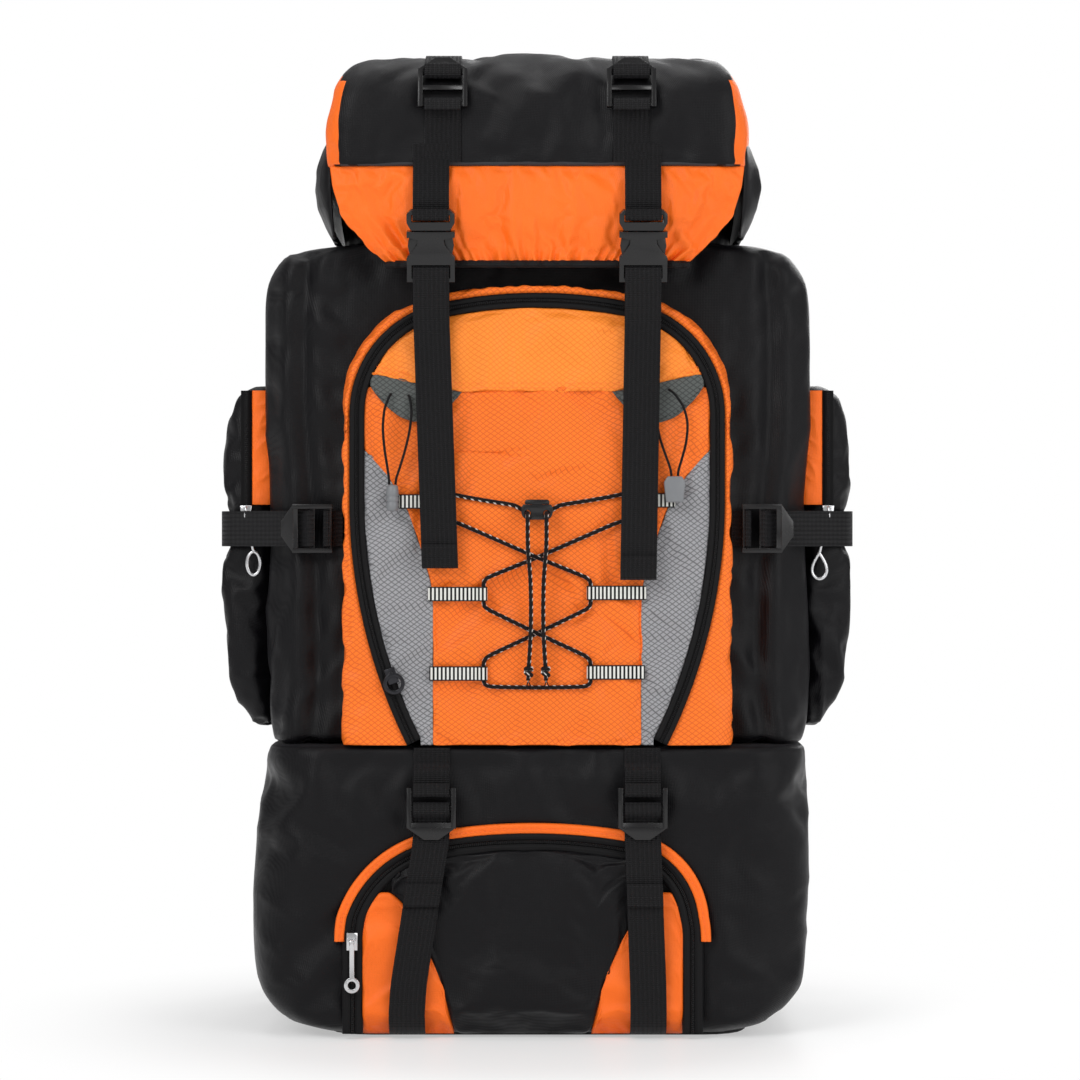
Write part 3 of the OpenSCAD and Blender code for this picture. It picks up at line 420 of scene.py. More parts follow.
NYLON = ClothFinish("black_nylon", "08070a", roughness=0.38, crumple=0.35)
LINING = ClothFinish("grey_lining", "333437", sheen=0.1, roughness=0.7, crumple=0.6)
RIPSTOP = ClothFinish("orange_ripstop", "ff7a20", Weave.DIAMOND, accent="d2561a", roughness=0.5)
FLAP = ClothFinish("bright_ripstop", "ff9030", Weave.DIAMOND, accent="ea741e", roughness=0.5, crumple=0.3)
ORANGE = ClothFinish("orange_nylon", "ff711a", roughness=0.46, crumple=0.6)
GREY = ClothFinish("grey_ripstop", "9c9c9f", Weave.DIAMOND, accent="3c3c3f", roughness=0.55, crumple=0.35)
DARK_GREY = ClothFinish("dark_ripstop", "585c5a", Weave.DIAMOND, accent="2a2c2b", roughness=0.55, crumple=0.3)
# The accents of the ribbed finishes here (webbing, binding, tool cord, tape) and of the coil are painted shade
# for their valleys; the air mesh's accent is painted shade in its holes.
WEBBING = ClothFinish("black_webbing", "151416", Weave.RIBBED, accent="020202", roughness=0.55, pitch=3.1,
    relief=0.7, crumple=0.1)
BINDING = ClothFinish("black_binding", "131214", Weave.RIBBED, accent="030303", pitch=1.6,
    relief=0.2, crumple=0.1)
PADDING = ClothFinish("air_mesh", "2a2a2e", Weave.MESH, accent="040404", sheen=0.1, roughness=0.8, pitch=3.2,
    relief=0.8, crumple=0.2)
CORD = ClothFinish("flecked_cord", "0f0e10", Weave.FLECKED, accent="e4e4e0", pitch=1.5,
    relief=0.2, crumple=0.05)
TOOL_CORD = ClothFinish("black_cord", "121113", Weave.RIBBED, accent="030303", pitch=0.9,
    relief=0.12, crumple=0.02)
TAPE = ClothFinish("zip_tape", "0c0b0d", Weave.RIBBED, accent="020202", sheen=0.03, pitch=1.2,
    relief=0.1, crumple=0.1)
COIL = ClothFinish("zip_coil", "141315", Weave.COIL, accent="020202", roughness=0.3, sheen=0.0, pitch=1.4,
    relief=0.5, crumple=0.0)
LOOP_TAPE = ClothFinish("barred_tape", "0f0f11", Weave.BARRED, accent="e2e2dc", roughness=0.45, crumple=0.05)
THREAD = ClothFinish("orange_thread", "ff7a3a", sheen=0.1, roughness=0.7, crumple=0.0)
BLACK_THREAD = ClothFinish("black_thread", "232224", sheen=0.1, roughness=0.7, crumple=0.0)
ACETAL = HardFinish("black_acetal", "0b0a0c", 0.27)
GREY_PLASTIC = HardFinish("grey_plastic", "77797c", 0.42)
SILVER = HardFinish("cast_silver", "d4d4d6", 0.25, 1.0, 0.01)
GUNMETAL = HardFinish("dark_metal", "3a3a3d", 0.3, 1.0, 0.01)
ALLOY = HardFinish("stay_alloy", "a9abae", 0.4, 1.0)
SHEET_PLASTIC = HardFinish("sheet_plastic", "121214", 0.5)


# ------------------------------------------------------------------ sewing bench
def clear_selection() -> None:
    """Leaves edit mode and deselects everything."""
    if bpy.context.object is not None and bpy.context.object.mode != "OBJECT":
        bpy.ops.object.mode_set(mode="OBJECT")
    bpy.ops.object.select_all(action="DESELECT")


def take(obj: Mesh) -> None:
    """Makes an object the only one selected, and active."""
    clear_selection()
    obj.select_set(True)
    bpy.context.view_layer.objects.active = obj


def read_points(obj: Mesh) -> Points:
    """Gives a mesh's points in millimetres, one row each."""
    flat = np.empty(len(obj.data.vertices) * 3, np.float32)
    obj.data.vertices.foreach_get("co", flat)
    return flat.reshape(-1, 3).astype(float) / MM


def write_points(obj: Mesh, points: Points) -> None:
    """Puts a mesh's points where they are asked, in millimetres."""
    obj.data.vertices.foreach_set("co", (points * MM).astype(np.float32).ravel())
    obj.data.update()


def read_normals(obj: Mesh) -> Points:
    """Gives the direction that each point of a mesh faces."""
    flat = np.empty(len(obj.data.vertices) * 3, np.float32)
    obj.data.vertex_normals.foreach_get("vector", flat)
    return flat.reshape(-1, 3).astype(float)


def apply_modifier(obj: Mesh, kind: str, **settings: object) -> None:
    """Adds a modifier and applies it.

    Args:
        obj: the mesh.
        kind: the modifier's type.
        **settings: the modifier's own settings.
    """
    take(obj)
    modifier = obj.modifiers.new(kind.lower(), kind)
    for key, value in settings.items():
        setattr(modifier, key, value)
    bpy.ops.object.modifier_apply(modifier=modifier.name)


@contextmanager
def editing(action: str = "SELECT") -> Iterator[None]:
    """Goes into edit mode with everything selected or deselected, and back."""
    bpy.ops.object.mode_set(mode="EDIT")
    bpy.ops.mesh.select_all(action=action)
    yield
    bpy.ops.object.mode_set(mode="OBJECT")


def subdivide(obj: Mesh, levels: int = 1) -> None:
    """Rounds a mesh by subdivision."""
    apply_modifier(obj, "SUBSURF", levels=levels, render_levels=levels)


def weld(obj: Mesh, outward: bool = True) -> None:
    """Merges a mesh's doubled points and turns a closed one's faces outwards.

    Args:
        obj: the mesh.
        outward: whether its normals are made again.
    """
    take(obj)
    with editing():
        bpy.ops.mesh.remove_doubles(threshold=0.00001)
        if outward:
            bpy.ops.mesh.normals_make_consistent(inside=False)


def lay_sheet(name: str, columns: int, rows: int, surface: Surface,
        size: tuple[float, float] = (1.0, 1.0)) -> Mesh:
    """Adds a grid and lays it out as a surface.

    Args:
        name: the new object's name.
        columns: how many faces it has along u.
        rows: how many faces it has along v.
        surface: takes u and v, from 0 to 1, and gives points in millimetres.
        size: the cloth's width and length in millimetres, which its UV map is measured in.

    Returns:
        The new object, smooth shaded.
    """
    clear_selection()
    bpy.ops.mesh.primitive_grid_add(x_subdivisions=columns, y_subdivisions=rows, size=1.0)
    obj = bpy.context.object
    obj.name = obj.data.name = name
    flat = read_points(obj) * MM
    write_points(obj, surface(flat[:, 0] + 0.5, flat[:, 1] + 0.5))
    layer = obj.data.uv_layers[0].data
    uvs = np.empty(len(layer) * 2, np.float32)
    layer.foreach_get("uv", uvs)
    layer.foreach_set("uv", (uvs.reshape(-1, 2) * np.array(size)).astype(np.float32).ravel())
    bpy.ops.object.shade_smooth()
    return obj


def fill_slots(obj: Mesh, *finishes: ClothFinish | HardFinish) -> None:
    """Puts finishes in a mesh's material slots, in order."""
    for index, finish in enumerate(finishes):
        if index < len(obj.data.materials):
            obj.data.materials[index] = finish.material()
        else:
            obj.data.materials.append(finish.material())


def dress(obj: Mesh, body: str, slot: str, *finishes: ClothFinish | HardFinish,
        nodes: Sequence[str] = ()) -> Mesh:
    """Gives a finished piece its materials, its body and the solids that it stands for.

    Args:
        obj: the piece.
        body: the body that it rides on; none for a piece that is blended between two.
        slot: the record's slot that its finish belongs to; not used.
        *finishes: the finishes of its material slots, in order.
        nodes: the solids that it replaces.

    Returns:
        The same piece.
    """
    fill_slots(obj, *finishes)
    if body:
        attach(obj, body)
    if nodes:
        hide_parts(*nodes)
    log.info("%s: %d faces on %s", obj.name, len(obj.data.polygons), body)
    return obj


def join(name: str, pieces: Sequence[Mesh]) -> Mesh:
    """Joins meshes into one, keeping their material slots.

    Args:
        name: the joined mesh's name.
        pieces: the meshes; the first one stays.

    Returns:
        The joined mesh.
    """
    take(pieces[0])
    for piece in pieces:
        piece.select_set(True)
    if len(pieces) > 1:
        bpy.ops.object.join()
    pieces[0].name = pieces[0].data.name = name
    return pieces[0]


def ripple(points: Points, period: float | Sequence[float], seed: int = 1) -> Values:
    """Gives smooth random heights, the same ones each run.

    Args:
        points: places in millimetres.
        period: the ripples' size, one for all axes or one for each.
        seed: picks another pattern.

    Returns:
        One height for each point, from -1 to 1.
    """
    q = points / np.array(period) + 1000.0
    cell = np.floor(q).astype(np.int64)
    f = q - cell
    f = f * f * (3 - 2 * f)
    total = np.zeros(len(points))
    for corner in range(8):
        step = np.array([corner & 1, corner >> 1 & 1, corner >> 2 & 1])
        c = cell + step
        n = np.bitwise_xor.reduce(c * HASH_PRIMES, axis=1) ^ (seed * 2654435)
        n = (n & 0xFFFFF) * 1103515 + 12345
        n = (n ^ (n >> 11)) * 69069 + 362437
        value = ((n >> 7) & 0xFFFF) / 32767.5 - 1
        total += value * np.prod(np.where(step, f, 1 - f), axis=1)
    return total


def arc(centre: tuple[float, float], radius: float, start: float, end: float, count: int) -> Points:
    """Gives the points of an arc.

    Args:
        centre: its centre.
        radius: its radius.
        start: its first angle, in degrees.
        end: its last angle, in degrees.
        count: how many steps it has.

    Returns:
        One row for each point.
    """
    a = np.radians(np.linspace(start, end, count + 1))
    return np.array(centre) + radius * stack([np.cos(a), np.sin(a)])


def distances(line: Points) -> Values:
    """Gives how far along a line each of its points is."""
    return np.concatenate([[0], np.cumsum(np.linalg.norm(np.diff(line, axis=0), axis=1))])


def length_of(line: Points) -> float:
    """Gives a line's length."""
    return float(np.linalg.norm(np.diff(line, axis=0), axis=1).sum())


def nearest(share: Values, count: int) -> Values:
    """Gives the number of the grid line at each share, from 0 to count."""
    return np.rint(share * count).astype(int)


def stack(columns: Sequence[Values]) -> Points:
    """Puts columns of values side by side."""
    return np.column_stack(columns)


def unit(values: Values) -> Values:
    """Holds values between 0 and 1."""
    return np.clip(values, 0, 1)


def oblong(angle: Values, wide: float, deep: float) -> tuple[Values, Values]:
    """Gives places round an oblong, whose corners are squarer the smaller its two powers are."""
    c, s = np.cos(angle), np.sin(angle)
    return np.sign(c) * np.abs(c) ** wide, np.sign(s) * np.abs(s) ** deep


def spread(line: Points, share: Values) -> Points:
    """Finds places along a line by the share of its length.

    Args:
        line: the line's points.
        share: shares from 0 to 1.

    Returns:
        One row for each share.
    """
    length = distances(line)
    return stack([np.interp(share * length[-1], length, line[:, k]) for k in range(line.shape[1])])


def flow(points: Sequence[Sequence[float]], step: float) -> Points:
    """Draws one smooth curve through a route's points.

    Args:
        points: the route's points in millimetres.
        step: the distance between the curve's points.

    Returns:
        The curve's points.
    """
    p = np.array(points, float)
    p = np.vstack([2 * p[0] - p[1], p, 2 * p[-1] - p[-2]])
    made = []
    for i in range(1, len(p) - 2):
        t = np.linspace(0, 1, 9)[:-1, None]
        a, b, c, d = p[i - 1], p[i], p[i + 1], p[i + 2]
        k = 0.5 * min(1.0, np.linalg.norm(c - b) / max(np.linalg.norm(b - a), 1e-6))
        m = 0.5 * min(1.0, np.linalg.norm(c - b) / max(np.linalg.norm(d - c), 1e-6))
        made.append((2 * t**3 - 3 * t**2 + 1) * b + (t**3 - 2 * t**2 + t) * k * (c - a)
            + (-2 * t**3 + 3 * t**2) * c + (t**3 - t**2) * m * (d - b))
    line = np.vstack(made + [p[-2:-1]])
    length = length_of(line)
    return spread(line, np.linspace(0, 1, max(3, int(length / step) + 1)))


def cord_tube(name: str, route: Points, radii: float | Sequence[float], sides: int = 10) -> Mesh:
    """Sweeps a round cord along a route, with rounded ends.

    Args:
        name: the new object's name.
        route: the cord's middle line in millimetres.
        radii: its radius, or one for each point of the route.
        sides: how many faces it has round it.

    Returns:
        The cord's mesh; its UV map runs round it and along it, in millimetres.
    """
    run = np.gradient(route, axis=0)
    run /= np.linalg.norm(run, axis=1)[:, None]
    side = np.zeros_like(run)
    side[0] = np.cross(run[0], [0.3, 1.0, 0.2])
    for i in range(1, len(run)):
        side[i] = side[i - 1]
        side[i] -= run[i] * (side[i] @ run[i])
        side[i] /= np.linalg.norm(side[i])
    side[0] /= np.linalg.norm(side[0])
    other = np.cross(run, side)
    radius = np.broadcast_to(np.array(radii, float), (len(route),)).copy()
    place = np.vstack([route[:1], route, route[-1:]])
    radius = np.concatenate([[0], radius, [0]])
    side, other = (np.vstack([s[:1], s, s[-1:]]) for s in (side, other))
    rows = len(place) - 1

    def surface(u: Values, v: Values) -> Points:
        """Places the tube's wall."""
        i = nearest(v, rows)
        a = -u * math.tau
        return place[i] + radius[i][:, None] * (np.cos(a)[:, None] * side[i] + np.sin(a)[:, None] * other[i])

    length = length_of(route)
    obj = lay_sheet(name, sides, rows, surface, (math.tau * float(np.max(radius)), length))
    weld(obj)
    return obj


@dataclass(frozen=True)
class Level:
    """One height of a lofted bag: a rounded rectangle.

    Args:
        z: its height.
        half: half its width.
        front: its front edge.
        back: its back edge.
        corner: its corners' radius.
        shift: how far its middle is from the pack's.
        rows: how many faces lead up to it, or 0 to go by their pitch.
    """

    z: float
    half: float
    front: float
    back: float
    corner: float
    shift: float = 0.0
    rows: int = 0

    def ring(self, count: int) -> Points:
        """Gives the outline, from the middle of its back round by the left.

        Args:
            count: how many steps it has.

        Returns:
            One row of x, y and z for each point, the first repeated last.
        """
        r = max(min(self.corner, self.half, (self.back - self.front) / 2), 0.01)
        x, lo, hi = self.half - r, self.front + r, self.back - r
        line = np.vstack([[[0, self.back]], arc((-x, hi), r, 90, 180, 12), arc((-x, lo), r, 180, 270, 12),
            arc((x, lo), r, 270, 360, 12), arc((x, hi), r, 0, 90, 12), [[0, self.back]]])
        plan = spread(line, np.linspace(0, 1, count + 1))
        return stack([plan[:, 0] + self.shift, plan[:, 1], np.full(count + 1, self.z)])


def pole(z: float, y: float = 0.0, shift: float = 0.0, rows: int = 0) -> Level:
    """Gives the tiny outline that a bag's floor or top is drawn together to.

    Args:
        z: its height.
        y: its place from front to back.
        shift: its place from the pack's middle.
        rows: how many faces lead up to it.

    Returns:
        The outline.
    """
    return Level(z, 0.02, y, y + 0.04, 0, shift, rows)


def loft(name: str, levels: Sequence[Level], around: int, pitch: float) -> Mesh:
    """Lofts a closed bag through its levels, from the middle of its floor up.

    Args:
        name: the new object's name.
        levels: the outlines in order; the first and last are drawn together to a point.
        around: how many faces it has round it.
        pitch: the height of its faces in millimetres.

    Returns:
        The bag's mesh.
    """
    facts = np.array([[s.z, s.half, s.front, s.back, s.corner, s.shift] for s in levels])
    span = np.abs(np.diff(facts, axis=0))[:, :4].max(axis=1)
    asked = np.array([s.rows for s in levels[1:]])
    marks = np.concatenate([[0], np.cumsum(np.where(asked > 0, asked, np.maximum(1, np.rint(span / pitch))))])
    count = int(marks[-1])
    rings = [Level(*[float(np.interp(i, marks, facts[:, k])) for k in range(6)]).ring(around)
        for i in range(count + 1)]
    rings[0][:, :2], rings[-1][:, :2] = rings[0][:, :2].mean(axis=0), rings[-1][:, :2].mean(axis=0)
    table = np.stack(rings)

    def surface(u: Values, v: Values) -> Points:
        """Places the bag's wall."""
        return table[nearest(v, count), nearest(u, around)]

    perimeter = length_of(table[count // 2])
    obj = lay_sheet(name, around, count, surface, (perimeter, float(span.sum())))
    weld(obj)
    return obj


@dataclass
class Billow:
    """Cloth pieces that are blown out and crumpled together in one short simulation.

    Args:
        frames: how many steps it takes.
        waiting: each piece with its points at rest and its limit.
    """

    frames: int = 20
    waiting: list[tuple[Mesh, Points, Reach]] = field(default_factory=list)

    def add(self, obj: Mesh, held: Values, limit: Reach, pressure: float = 3.0, slack: float = 0.03,
            closed: bool = True) -> None:
        """Gets a piece ready for the simulation.

        Args:
            obj: the piece's mesh.
            held: how firmly each point is sewn down, from 0 to 1.
            limit: takes the moved points and gives them back where they may be.
            pressure: how hard it is blown out.
            slack: how much larger the cloth is than its frame.
            closed: whether the mesh holds air.
        """
        group = obj.vertex_groups.new(name="sewn")
        for level in (0.25, 0.5, 0.75, 1.0):
            chosen = np.nonzero(np.abs(unit(held) - level) <= 0.125)[0]
            group.add([int(i) for i in chosen], level, "REPLACE")
        rest = read_points(obj)
        cloth = obj.modifiers.new("billow", "CLOTH")
        s = cloth.settings
        s.quality, s.mass = 4, 0.3
        s.tension_stiffness = s.compression_stiffness = 12.0
        s.shear_stiffness, s.bending_stiffness = 4.0, 0.4
        s.air_damping = 2.0
        s.shrink_min = -slack
        s.vertex_group_mass = "sewn"
        s.pin_stiffness = 2.0
        s.use_pressure = closed
        s.uniform_pressure_force = pressure if closed else 0.0
        s.effector_weights.gravity = 0.0
        cloth.collision_settings.use_collision = False
        cloth.collision_settings.use_self_collision = False
        cloth.point_cache.frame_end = self.frames
        self.waiting.append((obj, rest, limit))

    def run(self) -> None:
        """Steps the simulation once for all its pieces and fixes what it made."""
        scene = bpy.context.scene
        for step in range(1, self.frames + 1 if self.waiting else 1):
            scene.frame_set(step)
        graph = bpy.context.evaluated_depsgraph_get()
        for obj, rest, limit in self.waiting:
            moved = read_points(obj.evaluated_get(graph))
            obj.modifiers.clear()
            obj.vertex_groups.clear()
            far = np.linalg.norm(moved - rest, axis=1).max()
            write_points(obj, limit(moved) if np.isfinite(moved).all() else rest)
            log.info("%s: cloth moved up to %.1f mm", obj.name, far)
        scene.frame_set(1)
        self.waiting.clear()


def within(rest: Points, cap: float, keep: Reach | None = None) -> Reach:
    """Makes a limit on how far cloth may move.

    Args:
        rest: the points before they moved.
        cap: the furthest that a point may go, in millimetres.
        keep: a further limit on the places themselves.

    Returns:
        A function that takes moved points and gives allowed ones.
    """
    def limit(moved: Points) -> Points:
        """Draws each point back into its reach."""
        step = moved - rest
        far = np.maximum(np.linalg.norm(step, axis=1), 1e-9)
        soft = cap * np.tanh(far / cap) / far
        placed = rest + step * soft[:, None]
        return keep(placed) if keep else placed
    return limit


def swell(obj: Mesh, height: Values) -> None:
    """Moves each point of a mesh along its normal.

    Args:
        obj: the mesh.
        height: one distance for each point, in millimetres.
    """
    write_points(obj, read_points(obj) + read_normals(obj) * height[:, None])


def stitches(name: str, route: Points, lift: Points | Sequence[float], pitch: float = 3.4,
        width: float = 0.7) -> Mesh:
    """Sews a row of raised stitches along a route.

    Args:
        name: the new object's name.
        route: the seam's line in millimetres.
        lift: the direction that the seam faces.
        pitch: the distance between stitches.
        width: the thread's width.

    Returns:
        One mesh with all the stitches.
    """
    length = length_of(route)
    count = max(2, int(length / pitch))
    ends = spread(route, np.linspace(0, 1, 2 * count))
    first, step = ends[0::2], ends[1::2] - ends[0::2]
    up = np.array(lift, float)
    side = np.cross(step / np.maximum(np.linalg.norm(step, axis=1), 1e-6)[:, None], up)
    first, step = first - 0.15 * step, 1.3 * step
    fullness = np.array([0.0, 0.75, 1.0, 0.75, 0.0]) * width / 2
    last = 5 * count - 1

    def surface(u: Values, v: Values) -> Points:
        """Places each stitch on five of the grid's rows."""
        row = nearest(v, last)
        k, part, a = row // 5, row % 5, u * math.pi
        section = side[k] * np.cos(a)[:, None] + up * 1.1 * np.sin(a)[:, None]
        return first[k] + step[k] * (part / 4)[:, None] + section * fullness[part][:, None]

    row = lay_sheet(name, 4, last, surface, (2 * width, length))
    with editing("DESELECT"):
        bpy.ops.mesh.select_mode(type="FACE")
    corners = np.empty(16 * last, int)
    row.data.polygons.foreach_get("vertices", corners)
    bridges = corners.reshape(-1, 4).min(axis=1) // 5 % 5 == 4
    row.data.polygons.foreach_set("select", bridges)
    bpy.ops.object.mode_set(mode="EDIT")
    bpy.ops.mesh.delete(type="FACE")
    bpy.ops.mesh.select_mode(type="VERT")
    bpy.ops.object.mode_set(mode="OBJECT")
    return row


# ------------------------------------------------------------------ studio
@dataclass
class Studio:
    """The floor, the lamps, the world and the camera.

    Args:
        distance: the camera's distance from the pack's middle, in metres.
        eye: the camera's sideways place and height, in metres.
        lens: the lens in millimetres.
        sky: the strength of the light from all round.
        shade: where the floor's shadow starts and ends fading, in metres from the pack's middle.
    """

    distance: float = 2.63
    eye: tuple[float, float] = (0.002, 0.346)
    lens: float = 120.7
    sky: float = 0.42
    shade: tuple[float, float] = (0.24, 0.42)

    def build(self) -> None:
        """Sets up the floor, lights and camera."""
        self._floor()
        self._world()
        for name, place, size, power, aim in (
            ("key", (-1.5, -2.2, 1.9), 1.5, 36.0, (0, 0, 0.4)),
            ("fill", (1.8, -2.0, 1.2), 1.6, 24.0, (0, 0, 0.35)),
            ("top", (0.0, 0.3, 2.4), 1.6, 20.0, (0, 0, 0.4)),
            ("back", (0.9, 2.2, 1.5), 1.6, 26.0, (0, 0, 0.4)),
        ):
            self._lamp(name, place, size, power, aim)
        bpy.ops.object.camera_add(location=(self.eye[0], -self.distance, self.eye[1]),
            rotation=(math.pi / 2, 0, 0))
        camera = bpy.context.object
        camera.name = "camera"
        camera.data.lens, camera.data.sensor_width = self.lens, 36.0
        bpy.context.scene.camera = camera
        bpy.context.scene.view_settings.view_transform = "Standard"

    def _lamp(self, name: str, place: Sequence[float], size: float, power: float, aim: Sequence[float]) -> None:
        """Adds a square soft lamp.

        Args:
            name: the lamp's name.
            place: where it stands, in metres.
            size: its side in metres.
            power: its power in watts.
            aim: what it points at.
        """
        turn = (Vector(aim) - Vector(place)).to_track_quat("-Z", "Y").to_euler()
        bpy.ops.object.light_add(type="AREA", location=place, rotation=turn)
        lamp = bpy.context.object
        lamp.name = name
        lamp.data.shape, lamp.data.size, lamp.data.energy = "SQUARE", size, power

    def _floor(self) -> None:
        """Adds the pale floor, which keeps the pack's shadow and fades to white."""
        clear_selection()
        bpy.ops.mesh.primitive_plane_add(size=30.0, location=(0, 0, 0))
        floor = bpy.context.object
        floor.name = "floor"
        r = Recipe("pale_floor")
        r.shader.inputs["Base Color"].default_value = (0.94, 0.94, 0.94, 1)
        r.shader.inputs["Roughness"].default_value = 0.45
        r.shader.inputs["Specular IOR Level"].default_value = 0.15
        glow = r.node("Emission")
        glow.inputs["Color"].default_value = (1, 1, 1, 1)
        x, y, _ = r.axes(Coords.OBJECT, 1.0)
        reach = r.math("SQRT", r.math("ADD", r.math("MULTIPLY", x, x), r.math("MULTIPLY", y, y)))
        fade = r.node("MapRange")
        fade.interpolation_type = "SMOOTHSTEP"
        fade.inputs["From Min"].default_value, fade.inputs["From Max"].default_value = self.shade
        fade.inputs["To Min"].default_value, fade.inputs["To Max"].default_value = 0.45, 1.0
        r.join(reach, fade.inputs["Value"])
        path = r.node("LightPath")
        seen = r.math("MAXIMUM", path.outputs["Is Camera Ray"], path.outputs["Is Glossy Ray"])
        blend = r.node("MixShader")
        r.join(r.math("MULTIPLY", fade.outputs[0], seen), blend.inputs[0])
        r.join(r.shader.outputs[0], blend.inputs[1])
        r.join(glow.outputs[0], blend.inputs[2])
        r.join(blend.outputs[0], r.output.inputs[0])
        floor.data.materials.append(r.material)

    def _world(self) -> None:
        """Makes a soft grey sky that looks white."""
        world = bpy.data.worlds.new("studio")
        bpy.context.scene.world = world
        world.use_nodes = True
        tree = world.node_tree
        tree.nodes.clear()
        output, path = tree.nodes.new("ShaderNodeOutputWorld"), tree.nodes.new("ShaderNodeLightPath")
        dim, white = tree.nodes.new("ShaderNodeBackground"), tree.nodes.new("ShaderNodeBackground")
        dim.inputs["Color"].default_value = white.inputs["Color"].default_value = (1, 1, 1, 1)
        dim.inputs["Strength"].default_value, white.inputs["Strength"].default_value = self.sky, 1.0
        blend = tree.nodes.new("ShaderNodeMixShader")
        tree.links.new(path.outputs["Is Camera Ray"], blend.inputs[0])
        tree.links.new(dim.outputs[0], blend.inputs[1])
        tree.links.new(white.outputs[0], blend.inputs[2])
        tree.links.new(blend.outputs[0], output.inputs[0])


def lean(obj: Mesh) -> Mesh:
    """Leans a piece of the base door sideways towards its foot."""
    p = read_points(obj)
    p[:, 0] += 0.3 * DOOR_LEAN + 0.7 * DOOR_LEAN * unit((150 - p[:, 2]) / 65)
    write_points(obj, p)
    return obj


# ------------------------------------------------------------------ cords
def let_hang(route: Points, radius: float, end: Mesh) -> None:
    """Works out the length of a cord that hangs from its first point; the length is not used.

    Args:
        route: its middle line in millimetres.
        radius: its radius in millimetres; not used.
        end: the piece on its far end; not used.
    """
    length_of(route) * MM


@dataclass
class Lacing:
    """The zigzag lacing on the front pocket, with its two hanging ends."""

    radius: float = 1.5
    over: float = -128.5
    under: float = -125.0
    eye_y: float = -126.3
    knot: tuple[float, float, float] = (5.9, -131.2, 255.0)

    def half(self, top: float, low: float) -> list[tuple[float, float, float]]:
        """Gives half of the lacing, from the cord lock to the middle of the bottom run.

        Args:
            top: the depth of the upper crossing.
            low: the depth of the lower crossing.

        Returns:
            The route's points.
        """
        flat = [(-10.5, 367), (-16, 370), (-40, 374), (-60, 378), (-66, 381.5), (-69.2, 381.5), (-70, 379),
            (-70, 367), (-69, 363.5), (-65, 361), (-53, 357), (0, 334), (33, 320.5), (36.3, 318), (37, 315),
            (37, 303), (36.3, 300), (33, 297.5), (0, 281.5), (-33, 266), (-36.3, 263), (-37, 260), (-37, 248.5),
            (-35.8, 246), (-32, 244.6), (0, 244)]
        depth = {334: top, 281.5: low}
        start = [(-6.5, -135, 364.5), (-6.5, -128.2, 364.5), (-7.6, -126.8, 365)]
        return start + [(x, depth.get(z, self.eye_y), z) for x, z in flat]

    def build(self) -> None:
        """Builds the lacing and its hanging ends."""
        left = self.half(self.over, self.under)
        right = [(-x, y, z) for x, y, z in self.half(self.under, self.over)[-2::-1]]
        laced = cord_tube("lacing", flow(left + right, 2.2), self.radius, 12)
        dress(laced, "root", "cord", CORD, nodes=["lacing_cord"])
        for side, name in ((-1, "left_lace_end"), (1, "right_lace_end")):
            self._end(side, name)

    def _end(self, side: int, name: str) -> None:
        """Builds one hanging end with its knot and frayed tip.

        Args:
            side: -1 for the left, 1 for the right.
            name: the piece's name.
        """
        hang = [(6.5, -135.2, 364.5), (6.5, -137, 364.2), (6.5, -139, 362.8), (6.5, -140.4, 360.4),
            (6.5, -140.8, 357), (6.5, -139.6, 349), (6.2, -136.4, 339), (5.4, -133.6, 329), (4.6, -132.2, 318),
            (4.2, -132, 300), (4.4, -132, 284), (5, -131.6, 270), (5.6, -131, 261), (5.8, -131, 258.4),
            (5.9, -131, 255), (6, -131, 251.6), (6.2, -131, 249)]
        route = flow([(side * x, y, z) for x, y, z in hang], 1.6)
        end = cord_tube(name, route, self.radius, 12)
        c = np.array(self.knot) * [side, 1, 1]
        turn = np.linspace(0, 2.3 * math.tau, 60)
        coil = c + stack([2.1 * np.cos(turn), 1.7 * np.sin(turn), 2.6 * np.sin(turn * 0.62 + 0.4)])
        knot = cord_tube(name + "_knot", coil, 1.35, 8)
        fray = [
            cord_tube(f"{name}_fray{i}", flow([
                route[-1],
                route[-1] + (1.2 * math.cos(i * 2.1), 1.0 * math.sin(i * 2.1), -2.5),
                route[-1] + (2.2 * math.cos(i * 2.1), 1.4 * math.sin(i * 2.1), -5.5),
            ], 1.5), 0.45, 5)
            for i in range(4)
        ]
        knot = join(name + "_knot", [knot] + fray)
        dress(end, "root", "cord", CORD, nodes=["lace_tails"])
        dress(knot, "root", "cord", CORD)
        let_hang(route, self.radius, knot)


